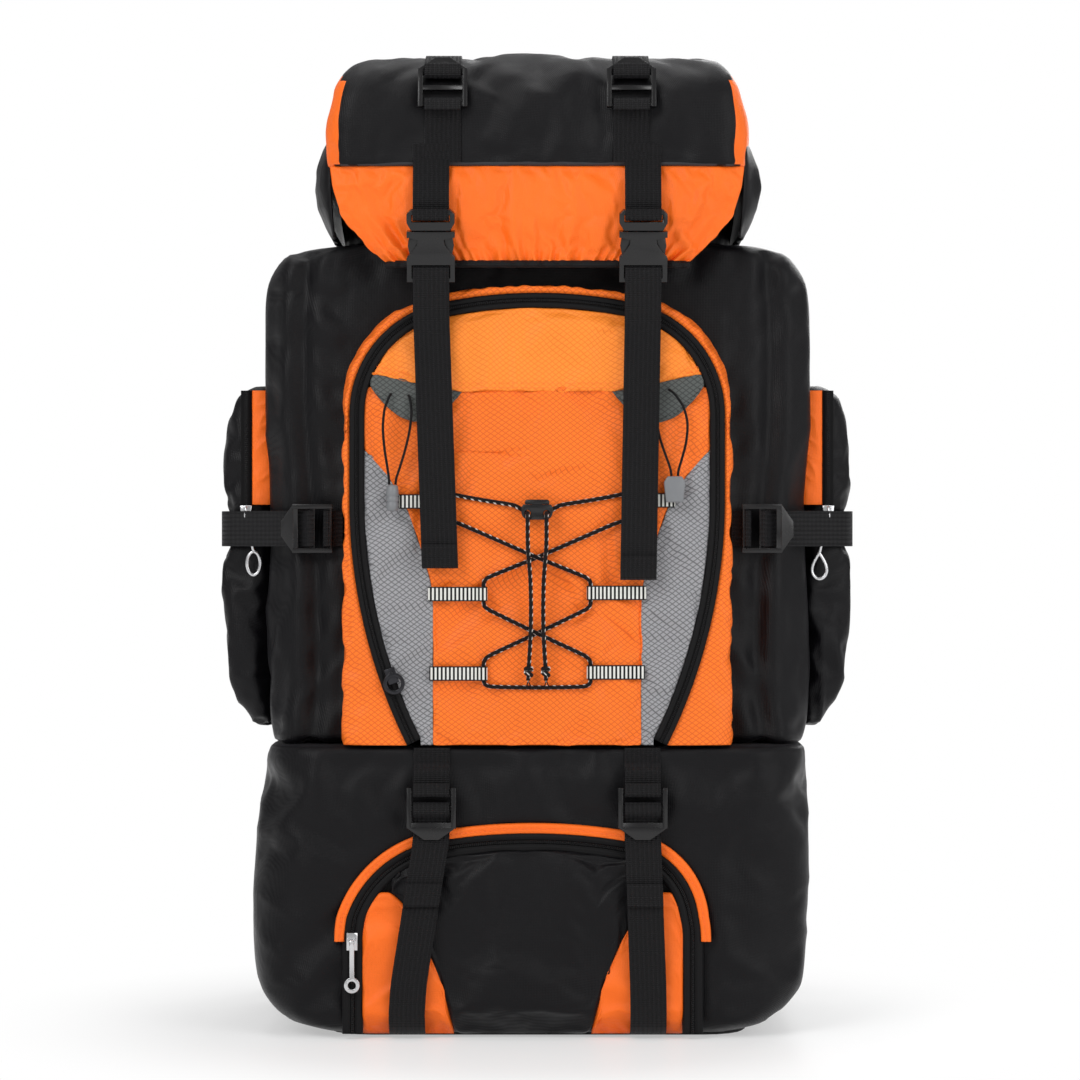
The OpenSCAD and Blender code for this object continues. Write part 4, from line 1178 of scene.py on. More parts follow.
@dataclass
class ToolLoops:
    """Two small cord loops that hang from eyelets under the flap, each in a moulded end."""

    radius: float = 0.9

    def build(self) -> None:
        """Builds the legs and the moulded ends."""
        legs = {
            "left_outer_leg": [
                (-101, -125, 447), (-101.2, -126.6, 446.7), (-101.9, -128, 445.6), (-103, -128.9, 443),
                (-105.4, -129, 436), (-106.5, -129, 424), (-105.5, -129, 410), (-103.4, -129, 396),
                (-102.4, -129, 389), (-102.2, -129, 384.2)],
            "left_inner_leg": [
                (-89, -125, 446), (-88.8, -126.6, 445.7), (-88.3, -128, 444.6), (-87.6, -128.9, 442),
                (-86.8, -129, 434), (-88, -129, 422), (-91.5, -129, 407), (-95.5, -129, 394),
                (-97.4, -129, 388), (-97.8, -129, 384.2)],
            "right_outer_leg": [
                (91, -125, 450), (91.6, -126.6, 449.7), (93.2, -128, 448.6), (95.8, -128.9, 446),
                (101, -129, 438), (103.8, -129, 427), (103, -129, 414), (100, -129, 402), (97.8, -129, 394.6),
                (97.2, -129, 390.2)],
            "right_inner_leg": [
                (80, -125, 446), (80.1, -126.6, 445.7), (80.5, -128, 444.6), (81, -128.9, 442),
                (82.2, -129, 430), (85, -129, 416), (89, -129, 404), (92, -129, 395.4), (92.8, -129, 390.2)],
        }
        ends = {"left": self._left_end(), "right": self._right_end()}
        for name, points in legs.items():
            route = flow(points, 1.6)
            leg = cord_tube(name, route, self.radius, 8)
            dress(leg, "root", "cord", TOOL_CORD, nodes=["tool_cords"])
            let_hang(route, self.radius, ends[name.split("_")[0]])

    def _left_end(self) -> Mesh:
        """Turns the round, ribbed end about an upright line.

        Returns:
            The dressed piece.
        """
        turns = np.array([(0.0, 366), (3.2, 366), (3.9, 366.6), (4.1, 369), (4.2, 371.4), (3.8, 371.9),
            (3.8, 372.6), (4.3, 373.1), (4.3, 375.2), (3.9, 375.7), (3.9, 376.4), (4.4, 376.9), (4.3, 380),
            (3.9, 383), (3.0, 384), (0.0, 384.2)])
        x, y = -100.0, -129.0

        def surface(u: Values, v: Values) -> Points:
            """Places the fitting's wall."""
            i, a = nearest(v, len(turns) - 1), u * math.tau
            return stack([x + turns[i, 0] * np.cos(a), y + turns[i, 0] * np.sin(a), turns[i, 1]])

        end = lay_sheet("left_cord_end", 28, len(turns) - 1, surface, (28.0, 18.0))
        weld(end)
        return dress(end, "root", "grey_plastic", GREY_PLASTIC, nodes=["tool_cord_ends"])

    def _right_end(self) -> Mesh:
        """Builds the flat, tapered end.

        Returns:
            The dressed piece.
        """
        clear_selection()
        bpy.ops.mesh.primitive_cube_add(size=1.0)
        end = bpy.context.object
        end.name = end.data.name = "right_cord_end"
        points = read_points(end) * MM
        low = points[:, 2] < 0
        points[:, 0] = 95 + points[:, 0] * np.where(low, 12.0, 15.0)
        points[:, 1] = -129 + points[:, 1] * np.where(low, 4.2, 5.0)
        points[:, 2] = np.where(low, 372.0, 386.0)
        write_points(end, points)
        with editing("DESELECT"):
            pass
        for face in end.data.polygons:
            face.select = face.normal.z > 0.9
        bpy.ops.object.mode_set(mode="EDIT")
        bpy.ops.mesh.extrude_region_move(TRANSFORM_OT_translate={"value": (0, 0, 0.004)})
        bpy.ops.transform.resize(value=(0.66, 0.9, 1.0), center_override=(0.095, -0.129, 0.39))
        bpy.ops.object.mode_set(mode="OBJECT")
        apply_modifier(end, "BEVEL", width=0.9 * MM, segments=3, limit_method="ANGLE")
        bpy.ops.object.shade_smooth()
        return dress(end, "root", "grey_plastic", GREY_PLASTIC, nodes=["tool_cord_ends"])


# ------------------------------------------------------------------ outlines that the pieces share
@dataclass(frozen=True)
class Arch:
    """A doorway outline: straight or tapering legs, round shoulders and a crowned top.

    Args:
        half: half its width.
        top: the height of its crown.
        shoulder: the shoulders' radius.
        crown: the crown's radius.
        foot: the height that it starts from.
        taper: how far each leg draws in by its foot.
        leg: the height of the tapering part.
    """

    half: float
    top: float
    shoulder: float
    crown: float
    foot: float
    taper: float = 0.0
    leg: float = 170.0

    def tilt(self) -> float:
        """Gives the angle where the shoulders meet the crown, in degrees."""
        return math.degrees(math.asin((self.half - self.shoulder) / (self.crown - self.shoulder)))

    def spring(self) -> float:
        """Gives the height that the shoulders spring from."""
        return self.top - self.crown + (self.crown - self.shoulder) * math.cos(math.radians(self.tilt()))

    def outline(self, inset: float, count: int) -> Points:
        """Gives the outline from its left foot over to its right foot.

        Args:
            inset: how far it is moved inwards.
            count: how many steps it has.

        Returns:
            Rows of x and z.
        """
        lines = [[[inset - self.half, self.foot]]]
        if self.taper:
            r = (self.leg**2 + self.taper**2) / (2 * self.taper)
            turn = math.degrees(math.asin(self.leg / r))
            lines = [arc((r - self.half, self.foot + self.leg), r - inset, 180 + turn, 180, 16)]
        lines += [arc((self.shoulder - self.half, self.spring()), self.shoulder - inset, 180, 90 + self.tilt(),
            20), arc((0, self.top - self.crown), self.crown - inset, 90 + self.tilt(), 90, 8)]
        left = np.vstack(lines)
        return spread(np.vstack([left, left[-2::-1] * [-1, 1]]), np.linspace(0, 1, count + 1))

    def width(self, z: Values, inset: float) -> Values:
        """Gives half the outline's width at each height."""
        line = self.outline(inset, 400)[:201]
        return -np.interp(z, line[:, 1], line[:, 0])

    def height(self, x: Values, inset: float) -> Values:
        """Gives the outline's top at each distance from the middle."""
        line = self.outline(inset, 400)[:201]
        start = int(np.argmin(line[:, 0]))
        return np.interp(-np.abs(x), line[start:, 0], line[start:, 1])


def band(name: str, arch: Arch, rows: Sequence[tuple[float, float]], count: int, outer: Arch
        | None = None) -> Mesh:
    """Lays cloth round an arch.

    Args:
        name: the new object's name.
        arch: the arch that it follows.
        rows: inset and depth (y) of each line of the cloth, from its outer edge inwards.
        count: how many faces it has along the arch.
        outer: another arch, which rows with a negative inset lead to; -1 is the whole way.

    Returns:
        The cloth's mesh; its UV map runs across it and along it.
    """
    lines = []
    for inset, depth in rows:
        flat = arch.outline(max(inset, 0.0), count)
        if inset < 0 and outer is not None:
            flat = flat * (1 + inset) - outer.outline(0.0, count) * inset
        lines.append(stack([flat[:, 0], np.full(count + 1, depth), flat[:, 1]]))
    table = np.stack(lines)

    def surface(u: Values, v: Values) -> Points:
        """Places the cloth."""
        return table[nearest(u, len(rows) - 1), nearest(v, count)]

    width = length_of(table[:, count // 2])
    length = length_of(table[0])
    return lay_sheet(name, len(rows) - 1, count, surface, (width, length))


def strap(name: str, route: Sequence[Sequence[float]], width: float, across: Sequence[float],
        thick: float = 1.6, step: float = 3.0) -> Mesh:
    """Runs flat webbing along a route.

    Args:
        name: the new object's name.
        route: its middle line in millimetres; a fourth number is its width there.
        width: its width elsewhere.
        across: the direction of its width.
        thick: its thickness.
        step: the length of its faces.

    Returns:
        The webbing's mesh; its UV map runs across it and along it.
    """
    line = flow(route, step)
    wide = line[:, 3] if line.shape[1] == 4 else np.full(len(line), float(width))
    line = line[:, :3]
    side = np.array(across, float) / np.linalg.norm(across)
    rows = len(line) - 1

    def surface(u: Values, v: Values) -> Points:
        """Places the webbing."""
        i = nearest(v, rows)
        return line[i] + ((u - 0.5) * wide[i])[:, None] * side

    length = length_of(line)
    obj = lay_sheet(name, 8, rows, surface, (width, length))
    apply_modifier(obj, "SOLIDIFY", thickness=thick * MM, offset=0.0)
    apply_modifier(obj, "BEVEL", width=0.35 * MM, segments=2, limit_method="ANGLE",
        angle_limit=math.radians(50))
    return obj


def face_out(obj: Mesh, way: Sequence[float]) -> None:
    """Turns an open sheet so that most of it faces a direction."""
    if (read_normals(obj) @ np.array(way, float)).mean() < 0:
        take(obj)
        with editing():
            bpy.ops.mesh.flip_normals()


def finish_sheet(obj: Mesh, way: Sequence[float], thick: float, levels: int = 1) -> None:
    """Rounds an open sheet and gives it its thickness inwards.

    Args:
        obj: the sheet.
        way: the direction that its outer face looks.
        thick: its thickness in millimetres.
        levels: how often it is subdivided.
    """
    face_out(obj, way)
    if levels:
        subdivide(obj, levels)
    apply_modifier(obj, "SOLIDIFY", thickness=thick * MM, offset=-1.0)


def paint(obj: Mesh, index: int, chosen: Callable[[Points, Points], Values]) -> None:
    """Puts a material slot on some of a mesh's faces.

    Args:
        obj: the mesh, which has its materials.
        index: the slot.
        chosen: takes the faces' middles in millimetres and their normals, and says which.
    """
    count = len(obj.data.polygons)
    middles, normals = np.empty(count * 3, np.float32), np.empty(count * 3, np.float32)
    obj.data.polygons.foreach_get("center", middles)
    obj.data.polygons.foreach_get("normal", normals)
    picked = chosen(middles.reshape(-1, 3) / MM, normals.reshape(-1, 3))
    slots = np.empty(count, np.int32)
    obj.data.polygons.foreach_get("material_index", slots)
    slots[picked] = index
    obj.data.polygons.foreach_set("material_index", slots)


def edge_of(points: Points, columns: int) -> Values:
    """Gives 1 along the edge of a sheet's grid and 0 inside it.

    Args:
        points: the sheet's points, row by row.
        columns: how many faces a row has.

    Returns:
        One value for each point.
    """
    index, size = np.arange(len(points)), columns + 1
    column = index % size
    return ((column == 0) | (column == columns) | (index < size) | (index >= len(points) - size)).astype(float)


def crease(points: Points, seed: int, period: Sequence[float], sharp: float = 2.0) -> Values:
    """Gives ridged folds, from 0 in the hollows to 1 on the ridges."""
    return (1 - np.abs(ripple(points, period, seed))) ** sharp


# ------------------------------------------------------------------ bags
@dataclass
class MainBag:
    """The tall main bag with its open top and the gathered collar over it."""

    foot: float = 203.6
    top: float = 553.0
    front: float = -95.0
    back: float = 119.8
    opening: float = 134.0
    soft: Mesh = None

    def build(self, billow: Billow) -> None:
        """Lofts the bag and hands it to the simulation.

        Args:
            billow: the simulation.
        """
        heights = [208, 230, 262, 300, 340, 380, 420, 460, 490, 512]
        halves = [186.5, 187.5, 188, 187, 185.5, 186, 187.5, 189, 189.5, 188.5]
        levels = [pole(self.foot, 12), Level(self.foot, 178, -87, 112, 24, rows=3),
            Level(205, 184, -93, 118, 28, rows=1)]
        levels += [Level(z, h, self.front, self.back, 30) for z, h in zip(heights, halves)]
        for a in (15, 30, 45, 60, 75, 90):
            c, s = math.cos(math.radians(a)), math.sin(math.radians(a))
            levels.append(Level(self.top - 39 + 39 * s, 150 + 38.5 * c, self.front + 4 - 4 * c,
                self.back - 3 + 3 * c, 30))
        levels += [Level(553.2, self.opening, -87, 112, 36, rows=2),
            Level(546, self.opening, -87, 112, 36, rows=2), Level(538, 143, -84, 110, 30, rows=2),
            Level(502, 172, -82, 108, 27, rows=3), Level(209, 170, -81, 107, 24, rows=14),
            pole(208, 12, rows=3)]
        bag = loft("main_bag_cloth", levels, 190, 6.5)
        self.soft = bag
        fill_slots(bag, NYLON, LINING)
        paint(bag, 1, lambda c, m: (m[:, 0] * c[:, 0] + m[:, 1] * (c[:, 1] - 12) < -1) & (c[:, 2] < 548)
            & (c[:, 2] > 206.5))
        p, n = read_points(bag), read_normals(bag)
        inner = (p[:, 2] < 552) & ((n[:, 0] * p[:, 0] + n[:, 1] * (p[:, 1] - 12)) < 0) & (p[:, 2] > 206.5)
        behind = (p[:, 1] < -80) & (np.abs(p[:, 0]) < self.opening) & (p[:, 2] < 528)
        swell(bag, np.where(inner | behind, 0, 1.1 * ripple(p, (26, 26, 60), 3)))
        held = np.zeros(len(p))
        held[inner | behind | (p[:, 2] < 208) | (p[:, 2] > 551) | (p[:, 1] > 114)] = 1.0
        billow.add(bag, held, within(p, 5.0, self._keep), pressure=1.6, slack=0.05)

    def _keep(self, p: Points) -> Points:
        """Keeps the cloth off the pockets and the harness."""
        pocket = (p[:, 2] > 212) & (p[:, 2] < 458) & (np.abs(p[:, 1]) < 62)
        p[:, 0] = np.where(pocket, np.clip(p[:, 0], -187.6, 187.6), np.clip(p[:, 0], -193, 193))
        p[:, 1] = np.clip(p[:, 1], np.where(np.abs(p[:, 0]) < 136, -95, -101.5), 119.9)
        return p

    def finish(self) -> None:
        """Rounds the bag, sews its seams and builds the collar."""
        bag = self.soft
        subdivide(bag)
        p, n = read_points(bag), read_normals(bag)
        front = (unit((-20 - p[:, 1]) / 60) * (np.abs(p[:, 0]) > 136) * (p[:, 2] < 548)
            * (n[:, 1] * (p[:, 1] - 12) + n[:, 0] * p[:, 0] > 0))
        bend = np.abs(p[:, 0]) - (160 + 5 * np.sin(p[:, 2] / 60.0))
        folds = (-4.4 * np.exp(-(bend / 6.5) ** 2) + 2.2 * np.exp(-((bend - 12) / 8.0) ** 2)
            + 1.0 * np.exp(-((bend + 12) / 7.0) ** 2))
        folds += 2.4 * (crease(p, 15, (34, 60, 120), 3) - 0.3)
        swell(bag, front * folds + 0.25 * ripple(p, (9, 9, 16), 5))
        dress(bag, "root", "black_fabric", nodes=["main_bag"])
        self._collar()

    def _collar(self) -> None:
        """Gathers the collar on its cord."""
        def surface(u: Values, v: Values) -> Points:
            """Places the collar's wall, from its seam up."""
            z = 553.4 + v * 49.2
            gather = np.exp(-((z - 596.5) / 5.0) ** 2)
            plan = spread(Level(0, 138, -91, 116, 40).ring(400)[:, :2], u)
            out = stack([plan[:, 0] / 138, (plan[:, 1] - 12.5) / 103.5])
            out /= np.linalg.norm(out, axis=1)[:, None]
            pleats = np.sin(u * math.tau * 62 + 1.4 * np.sin(u * math.tau * 9)) * (0.5 + 1.3
                * unit((z - 560) / 36))
            slump = 3.0 * np.sin(math.pi * v) ** 1.5
            r = slump - 2.4 * gather + pleats * 0.9 - 1.6
            return stack([plan[:, 0] + out[:, 0] * r, plan[:, 1] + out[:, 1] * r, z])

        wall = lay_sheet("collar_cloth", 520, 22, surface, (770.0, 50.0))
        weld(wall, outward=False)
        face_out_ring(wall, 12.5)
        apply_modifier(wall, "SOLIDIFY", thickness=1.6 * MM, offset=-1.0)
        dress(wall, "root", "black_fabric", NYLON, nodes=["collar"])
        ring = Level(596.5, 139.9, -92.9, 117.9, 41).ring(260)
        cord = cord_tube("collar_draw_cord", ring[:-1], 1.4, 8)
        dress(cord, "root", "cord", CORD, nodes=["collar_cord"])


def face_out_ring(obj: Mesh, middle: float) -> None:
    """Turns an open ring of cloth so that it faces away from its upright axis.

    Args:
        obj: the ring.
        middle: its middle's y.
    """
    p, n = read_points(obj), read_normals(obj)
    if (n[:, 0] * p[:, 0] + n[:, 1] * (p[:, 1] - middle)).mean() < 0:
        take(obj)
        with editing():
            bpy.ops.mesh.flip_normals()


@dataclass
class LowerCompartment:
    """The wide lower bag with its arched zip door."""

    door: Arch = field(default_factory=lambda: Arch(130.56, 150.0, 75.0, 400.0, 4.0))
    soft: Mesh = None
    panels: list = field(default_factory=list)

    def build(self, billow: Billow) -> None:
        """Lofts the bag and lays the door's panels.

        Args:
            billow: the simulation.
        """
        def half(z: float) -> float:
            """Gives the bag's half width at a height."""
            side = float(np.interp(z, [2, 60, 110, 170, 203], [187, 190, 192, 189, 186]))
            drop = max(0.0, 47.0 - z)
            return side - (45 - math.sqrt(max(0.0, 45**2 - drop**2)))

        levels = [pole(6.2), Level(6.2, 138, -94, 94, 34, rows=4), Level(5.0, 147.6, -102.6, 102.6, 30, rows=2),
            Level(2.0, 148, -103, 103, 30, rows=1)]
        for z in (2.6, 5, 9, 13, 18, 24, 31, 40, 50, 62, 80, 100, 120, 140, 160, 178, 190, 198):
            tuck = 16 - math.sqrt(max(0.0, 16**2 - max(0.0, 17.9 - z) ** 2))
            levels.append(Level(z, half(z), -119.8 + tuck, 119.8 - tuck, 40, -5.0 * min(1.0, (203 - z) / 120)))
        levels += [Level(202.6, 187.5, -118, 118, 38, rows=1), Level(203.1, 180, -110, 110, 34, rows=1),
            pole(203.1, rows=3)]
        bag = loft("base_bag_cloth", levels, 190, 6.0)
        self.soft = bag
        p = read_points(bag)
        behind = (p[:, 1] < -100) & (np.abs(p[:, 0]) < 128) & (p[:, 2] < 147)
        x = np.abs(p[:, 0] + 5)
        p[:, 1] += ((p[:, 1] < -60) * 3.6 * unit((132 - x) / 10)
            * unit((self.door.height(x, 0.0) - 4 - p[:, 2]) / 10))
        write_points(bag, p)
        swell(bag, np.where(behind | (p[:, 2] > 198) | (p[:, 2] < 8), 0, 0.9 * ripple(p, (40, 40, 30), 7)))
        held = np.zeros(len(p))
        held[behind | (p[:, 2] > 200.5) | (p[:, 2] < 6.6) | ((p[:, 1] > 112) & (np.abs(p[:, 0]) < 104))] = 1.0
        billow.add(bag, held, within(p, 4.5, self._keep), pressure=1.6, slack=0.05)
        self._lay_door(billow)

    def _keep(self, p: Points) -> Points:
        """Keeps the bag off the floor, its door and its straps."""
        strapped = (np.abs(np.abs(p[:, 0]) - STRAP_X) < 20) & (p[:, 2] < 199)
        p[:, 1] = np.clip(p[:, 1], np.where(strapped, -120.2, -126), 126)
        p[:, 1] = np.where((np.abs(p[:, 0]) < 104), np.minimum(p[:, 1], 119.9), p[:, 1])
        p[:, 0] = np.clip(p[:, 0], -203, 191)
        p[:, 2] = np.maximum(p[:, 2], 1.2)
        return p

    def _lay_door(self, billow: Billow) -> None:
        """Lays the door's black middle and orange wings."""
        seam_x, seam_z = [0, 47.0, 56.4, 68.4, 84.4, 93.2, 130], [2, 2.6, 40, 68, 95, 102, 102]
        inner = 19.1

        def middle(u: Values, v: Values) -> Points:
            """Places the black middle."""
            x = 93.0 * np.sin((u - 0.5) * math.pi) * 0.999
            low = np.maximum(np.interp(np.abs(x), seam_x, seam_z), 2.6)
            top = self.door.height(x, inner)
            z = low + v * (top - low)
            crown = unit(np.sin(math.pi * v)) ** 0.45 * unit(np.cos((u - 0.5) * math.pi)) ** 0.5
            under = unit((22 - z) / 20) ** 2 * 12.5
            return stack([x, -122.2 - 5.4 * crown + under, z])

        self._panel("door_middle", 64, 56, middle, billow, ["base_door"], NYLON)
        for side, name in SIDES:
            def wing(u: Values, v: Values, side: int = side) -> Points:
                """Places an orange wing."""
                x = 47.8 + u * (111.2 - 47.8)
                top = np.minimum(np.interp(x, seam_x, seam_z), self.door.height(x, inner))
                z = 2.6 + v * (np.maximum(top, 3.0) - 2.6)
                crown = unit(np.sin(math.pi * unit(v))) ** 0.5 * unit(np.sin(math.pi * u)) ** 0.5
                under = unit((22 - z) / 20) ** 2 * 12.5
                return stack([side * x, -122.2 - 4.4 * crown + under, z])
            self._panel(f"door_{name}_wing", 26, 48, wing, billow, ["base_door_wings"], ORANGE)

    def _panel(self, name: str, columns: int, rows: int, surface: Surface, billow: Billow, nodes: list[str],
            finish: ClothFinish) -> None:
        """Lays one panel and hands it to the simulation.

        Args:
            name: the piece's name.
            columns: its faces along u.
            rows: its faces along v.
            surface: its shape.
            billow: the simulation.
            nodes: the solids that it replaces.
            finish: its finish.
        """
        sheet = lay_sheet(name, columns, rows, surface, (100.0, 100.0))
        p = read_points(sheet)
        held = edge_of(p, columns)
        p[:, 1] -= (1 - held) * (0.8 * ripple(p, 22, 11) + 0.8)
        write_points(sheet, p)

        def keep(q: Points) -> Points:
            """Keeps the panel under its straps."""
            strapped = np.abs(np.abs(q[:, 0]) - STRAP_X) < 15
            q[:, 1] = np.clip(q[:, 1], np.where(strapped, -128.3, -130.5), -107)
            return q
        billow.add(sheet, held, within(p, 4.0, keep), slack=0.05, closed=False)
        self.panels.append((sheet, nodes, finish))

    def finish(self) -> None:
        """Finishes the bag and door, and sews on the piping, the zip and the base panel."""
        subdivide(self.soft)
        p, n = read_points(self.soft), read_normals(self.soft)
        side = unit(np.abs(p[:, 0]) / 60 - 1.9) * (p[:, 2] > 10) * (p[:, 2] < 196) * (1 - 0.6 * np.abs(n[:, 0]))
        drag = crease(stack([p[:, 0] + 0.9 * p[:, 2], p[:, 1], p[:, 2] - 0.6 * np.abs(p[:, 0])]),
            21, (46, 60, 30), 3)
        swell(self.soft, side * (2.2 * drag - 1.1) + 0.2 * ripple(p, (10, 10, 10), 8))
        dress(self.soft, "root", "black_fabric", NYLON, nodes=["base_bag"])
        for sheet, nodes, finish in self.panels:
            finish_sheet(sheet, FRONT, 1.6)
            slot = "orange_ripstop" if finish is ORANGE else "black_fabric"
            dress(lean(sheet), "root", slot, finish, nodes=nodes)
        tape = band("base_zip_tape", self.door, [(5.5, -121.4), (6.2, -123.0), (11.4, -123.3), (11.7, -122.6),
            (14.0, -122.6), (14.3, -123.3), (19.0, -123.2), (20.0, -121.4)], 200)
        finish_sheet(tape, FRONT, 1.0, 0)
        dress(lean(tape), "root", "zip", TAPE, nodes=["base_zip"])
        coil = band("base_zip_coil", self.door, [(11.5, -122.8), (11.6, -123.7), (12.6, -124.1),
            (12.85, -123.8), (13.1, -124.1), (14.1, -123.7), (14.2, -122.8)], 420)
        face_out(coil, FRONT)
        dress(lean(coil), "root", "zip", COIL)
        edge = Arch(130.56, 150.0, 75.0, 400.0, 68.0)
        flap = band("base_storm_flap", edge, [(-0.2, -120.4), (-0.2, -123.6), (0.6, -125.0), (2.4, -125.3),
            (3.6, -124.5), (4.4, -124.9), (6.4, -124.6), (7.2, -123.4), (7.0, -122.6)], 160)
        p = read_points(flap)
        p[:, 1] += 0.35 * ripple(p, 14, 31)
        write_points(flap, p)
        finish_sheet(flap, FRONT, 0.8)
        dress(lean(flap), "root", "orange_trim", ORANGE, nodes=["base_piping"])
        seam = edge.outline(4.1, 200)
        row = stitches("base_flap_stitches", stack([seam[:, 0], np.full(201, -125.0), seam[:, 1]]), FRONT, 3.2,
            0.6)
        dress(lean(row), "root", "orange_trim", THREAD)
        self._panel_under()

    def _panel_under(self) -> None:
        """Builds the stiff base panel that the pack stands on."""
        levels = [pole(0.0), Level(0.0, 141, -96, 96, 26, rows=3), Level(0.4, 145, -100, 100, 29, rows=1),
            Level(2.0, 147, -102, 102, 30, rows=1), Level(5.0, 147, -102, 102, 30, rows=1),
            Level(5.8, 144, -99, 99, 28, rows=1), pole(5.8, rows=3)]
        plate = loft("base_panel_cloth", levels, 96, 6.0)
        dress(plate, "root", "black_fabric", WEBBING, nodes=["base_panel"])


@dataclass
class SidePocket:
    """One tall side pocket with its orange strip and upright zip."""

    side: int = 1
    soft: Mesh = None

    def name(self, part: str) -> str:
        """Names a part after its side."""
        return f"{'left' if self.side < 0 else 'right'}_{part}"

    def build(self, billow: Billow) -> None:
        """Lofts the pocket and hands it to the simulation.

        Args:
            billow: the simulation.
        """
        rows = [(214.4, 188.6, 196, 30), (216, 188.4, 202, 44), (222, 188.4, 208, 52), (234, 188.4, 215, 57),
            (250, 188.4, 219.5, 59.5), (280, 188.4, 222, 60.5), (310, 188.4, 222.5, 61), (330, 188.4, 221, 60),
            (343, 188.4, 219, 59.3), (354, 188.4, 218.5, 59), (366, 188.4, 219, 59.3), (385, 188.4, 221, 60),
            (410, 188.4, 220.5, 60), (432, 188.4, 218, 59), (446, 188.4, 214, 57), (453, 188.6, 208, 53),
            (456, 189, 202, 46)]
        levels = [pole(214.2, shift=self.side * 192)]
        levels += [Level(z, (b - a) / 2, -d, d, 13.5, self.side * (a + b) / 2) for z, a, b, d in rows]
        levels.append(pole(456.4, shift=self.side * 195))
        bag = loft(self.name("pocket_cloth"), levels, 84, 4.2)
        self.soft = bag
        p = read_points(bag)
        inner = np.abs(p[:, 0]) < 190
        strapped = np.abs(p[:, 2] - SIDE_STRAP_Z) < 13
        front = (p[:, 1] < -57) & (np.abs(p[:, 0]) < 207) & (p[:, 2] > 366)
        swell(bag, np.where(inner | strapped, 0, 0.8 * ripple(p, (16, 20, 28), 12 + self.side)))
        held = (inner | strapped | front | (p[:, 2] > 452)).astype(float)
        billow.add(bag, held, within(p, 5.0, self._keep), pressure=2.0, slack=0.06)

    def _keep(self, p: Points) -> Points:
        """Keeps the pocket off the main bag and inside its width."""
        p[:, 0] = self.side * np.clip(self.side * p[:, 0], 188.2, 226.0)
        strapped = np.abs(p[:, 2] - SIDE_STRAP_Z) < 14
        p[:, 1] = np.clip(p[:, 1], np.where(strapped, -60.4, -66), 66)
        return p

    def finish(self) -> None:
        """Rounds the pocket, gathers its foot and sews on its strip and zip."""
        subdivide(self.soft)
        p = read_points(self.soft)
        low = unit((300 - p[:, 2]) / 70) * (p[:, 2] > 216) * (np.abs(p[:, 0]) > 191)
        pleat = crease(stack([p[:, 0], p[:, 1] * 0.6, p[:, 2] * 0.12 + 0.4 * np.abs(p[:, 0])]),
            41 + self.side, (9, 12, 14), 2)
        near = np.exp(-((p[:, 2] - SIDE_STRAP_Z) / 22.0) ** 2) * (np.abs(p[:, 0]) > 191)
        pinch = crease(p * [1, 1, 0.2], 51, (10, 10, 12), 2)
        swell(self.soft, low * (2.6 * pleat - 1.6) + near * (1.6 * pinch - 1.2))
        dress(self.soft, "root", "black_fabric", NYLON, nodes=[self.name("side_pocket")])
        s = self.side

        def strip(u: Values, v: Values) -> Points:
            """Places the orange strip."""
            z = 371.0 + v * 81.0
            slope = 1.5 * (v - 0.5)
            x = 188.6 + u * 14.0 + slope * (1 - u)
            base = -60.9 - 1.6 * np.sin(math.pi * u) ** 0.6
            folds = 1.3 * (crease(stack([x, z * 0 + 1, z + 0.8 * x]), 61 + s, (12, 5, 9), 2) - 0.5)
            return stack([s * x, base - folds * np.sin(math.pi * u) ** 0.5 * unit(8 * np.minimum(v, 1 - v)), z])

        orange = lay_sheet(self.name("pocket_strip"), 16, 60, strip, (14.0, 82.0))
        finish_sheet(orange, FRONT, 0.8)
        dress(orange, "root", "orange_trim", ORANGE, nodes=["side_pocket_strips"])
        rows = [(-4.1, -60.4), (-3.8, -61.9), (-1.3, -61.9), (-1.0, -62.6), (-0.3, -62.6), (0, -62.3),
            (0.3, -62.6), (1.0, -62.6), (1.3, -61.9), (3.9, -61.7), (4.1, -59.8)]
        table = np.array(rows) + [206.2, 0]

        def zip_tape(u: Values, v: Values) -> Points:
            """Places the zip."""
            i = nearest(u, len(rows) - 1)
            return stack([s * table[i, 0], table[i, 1], 371.0 + v * 81.0])

        tape = lay_sheet(self.name("pocket_zip"), len(rows) - 1, 90, zip_tape, (8.0, 81.0))
        face_out(tape, FRONT)
        dress(tape, "root", "zip", TAPE, COIL, nodes=["side_zips"])
        paint(tape, 1, lambda c, m: np.abs(np.abs(c[:, 0]) - 206.2) < 1.1)


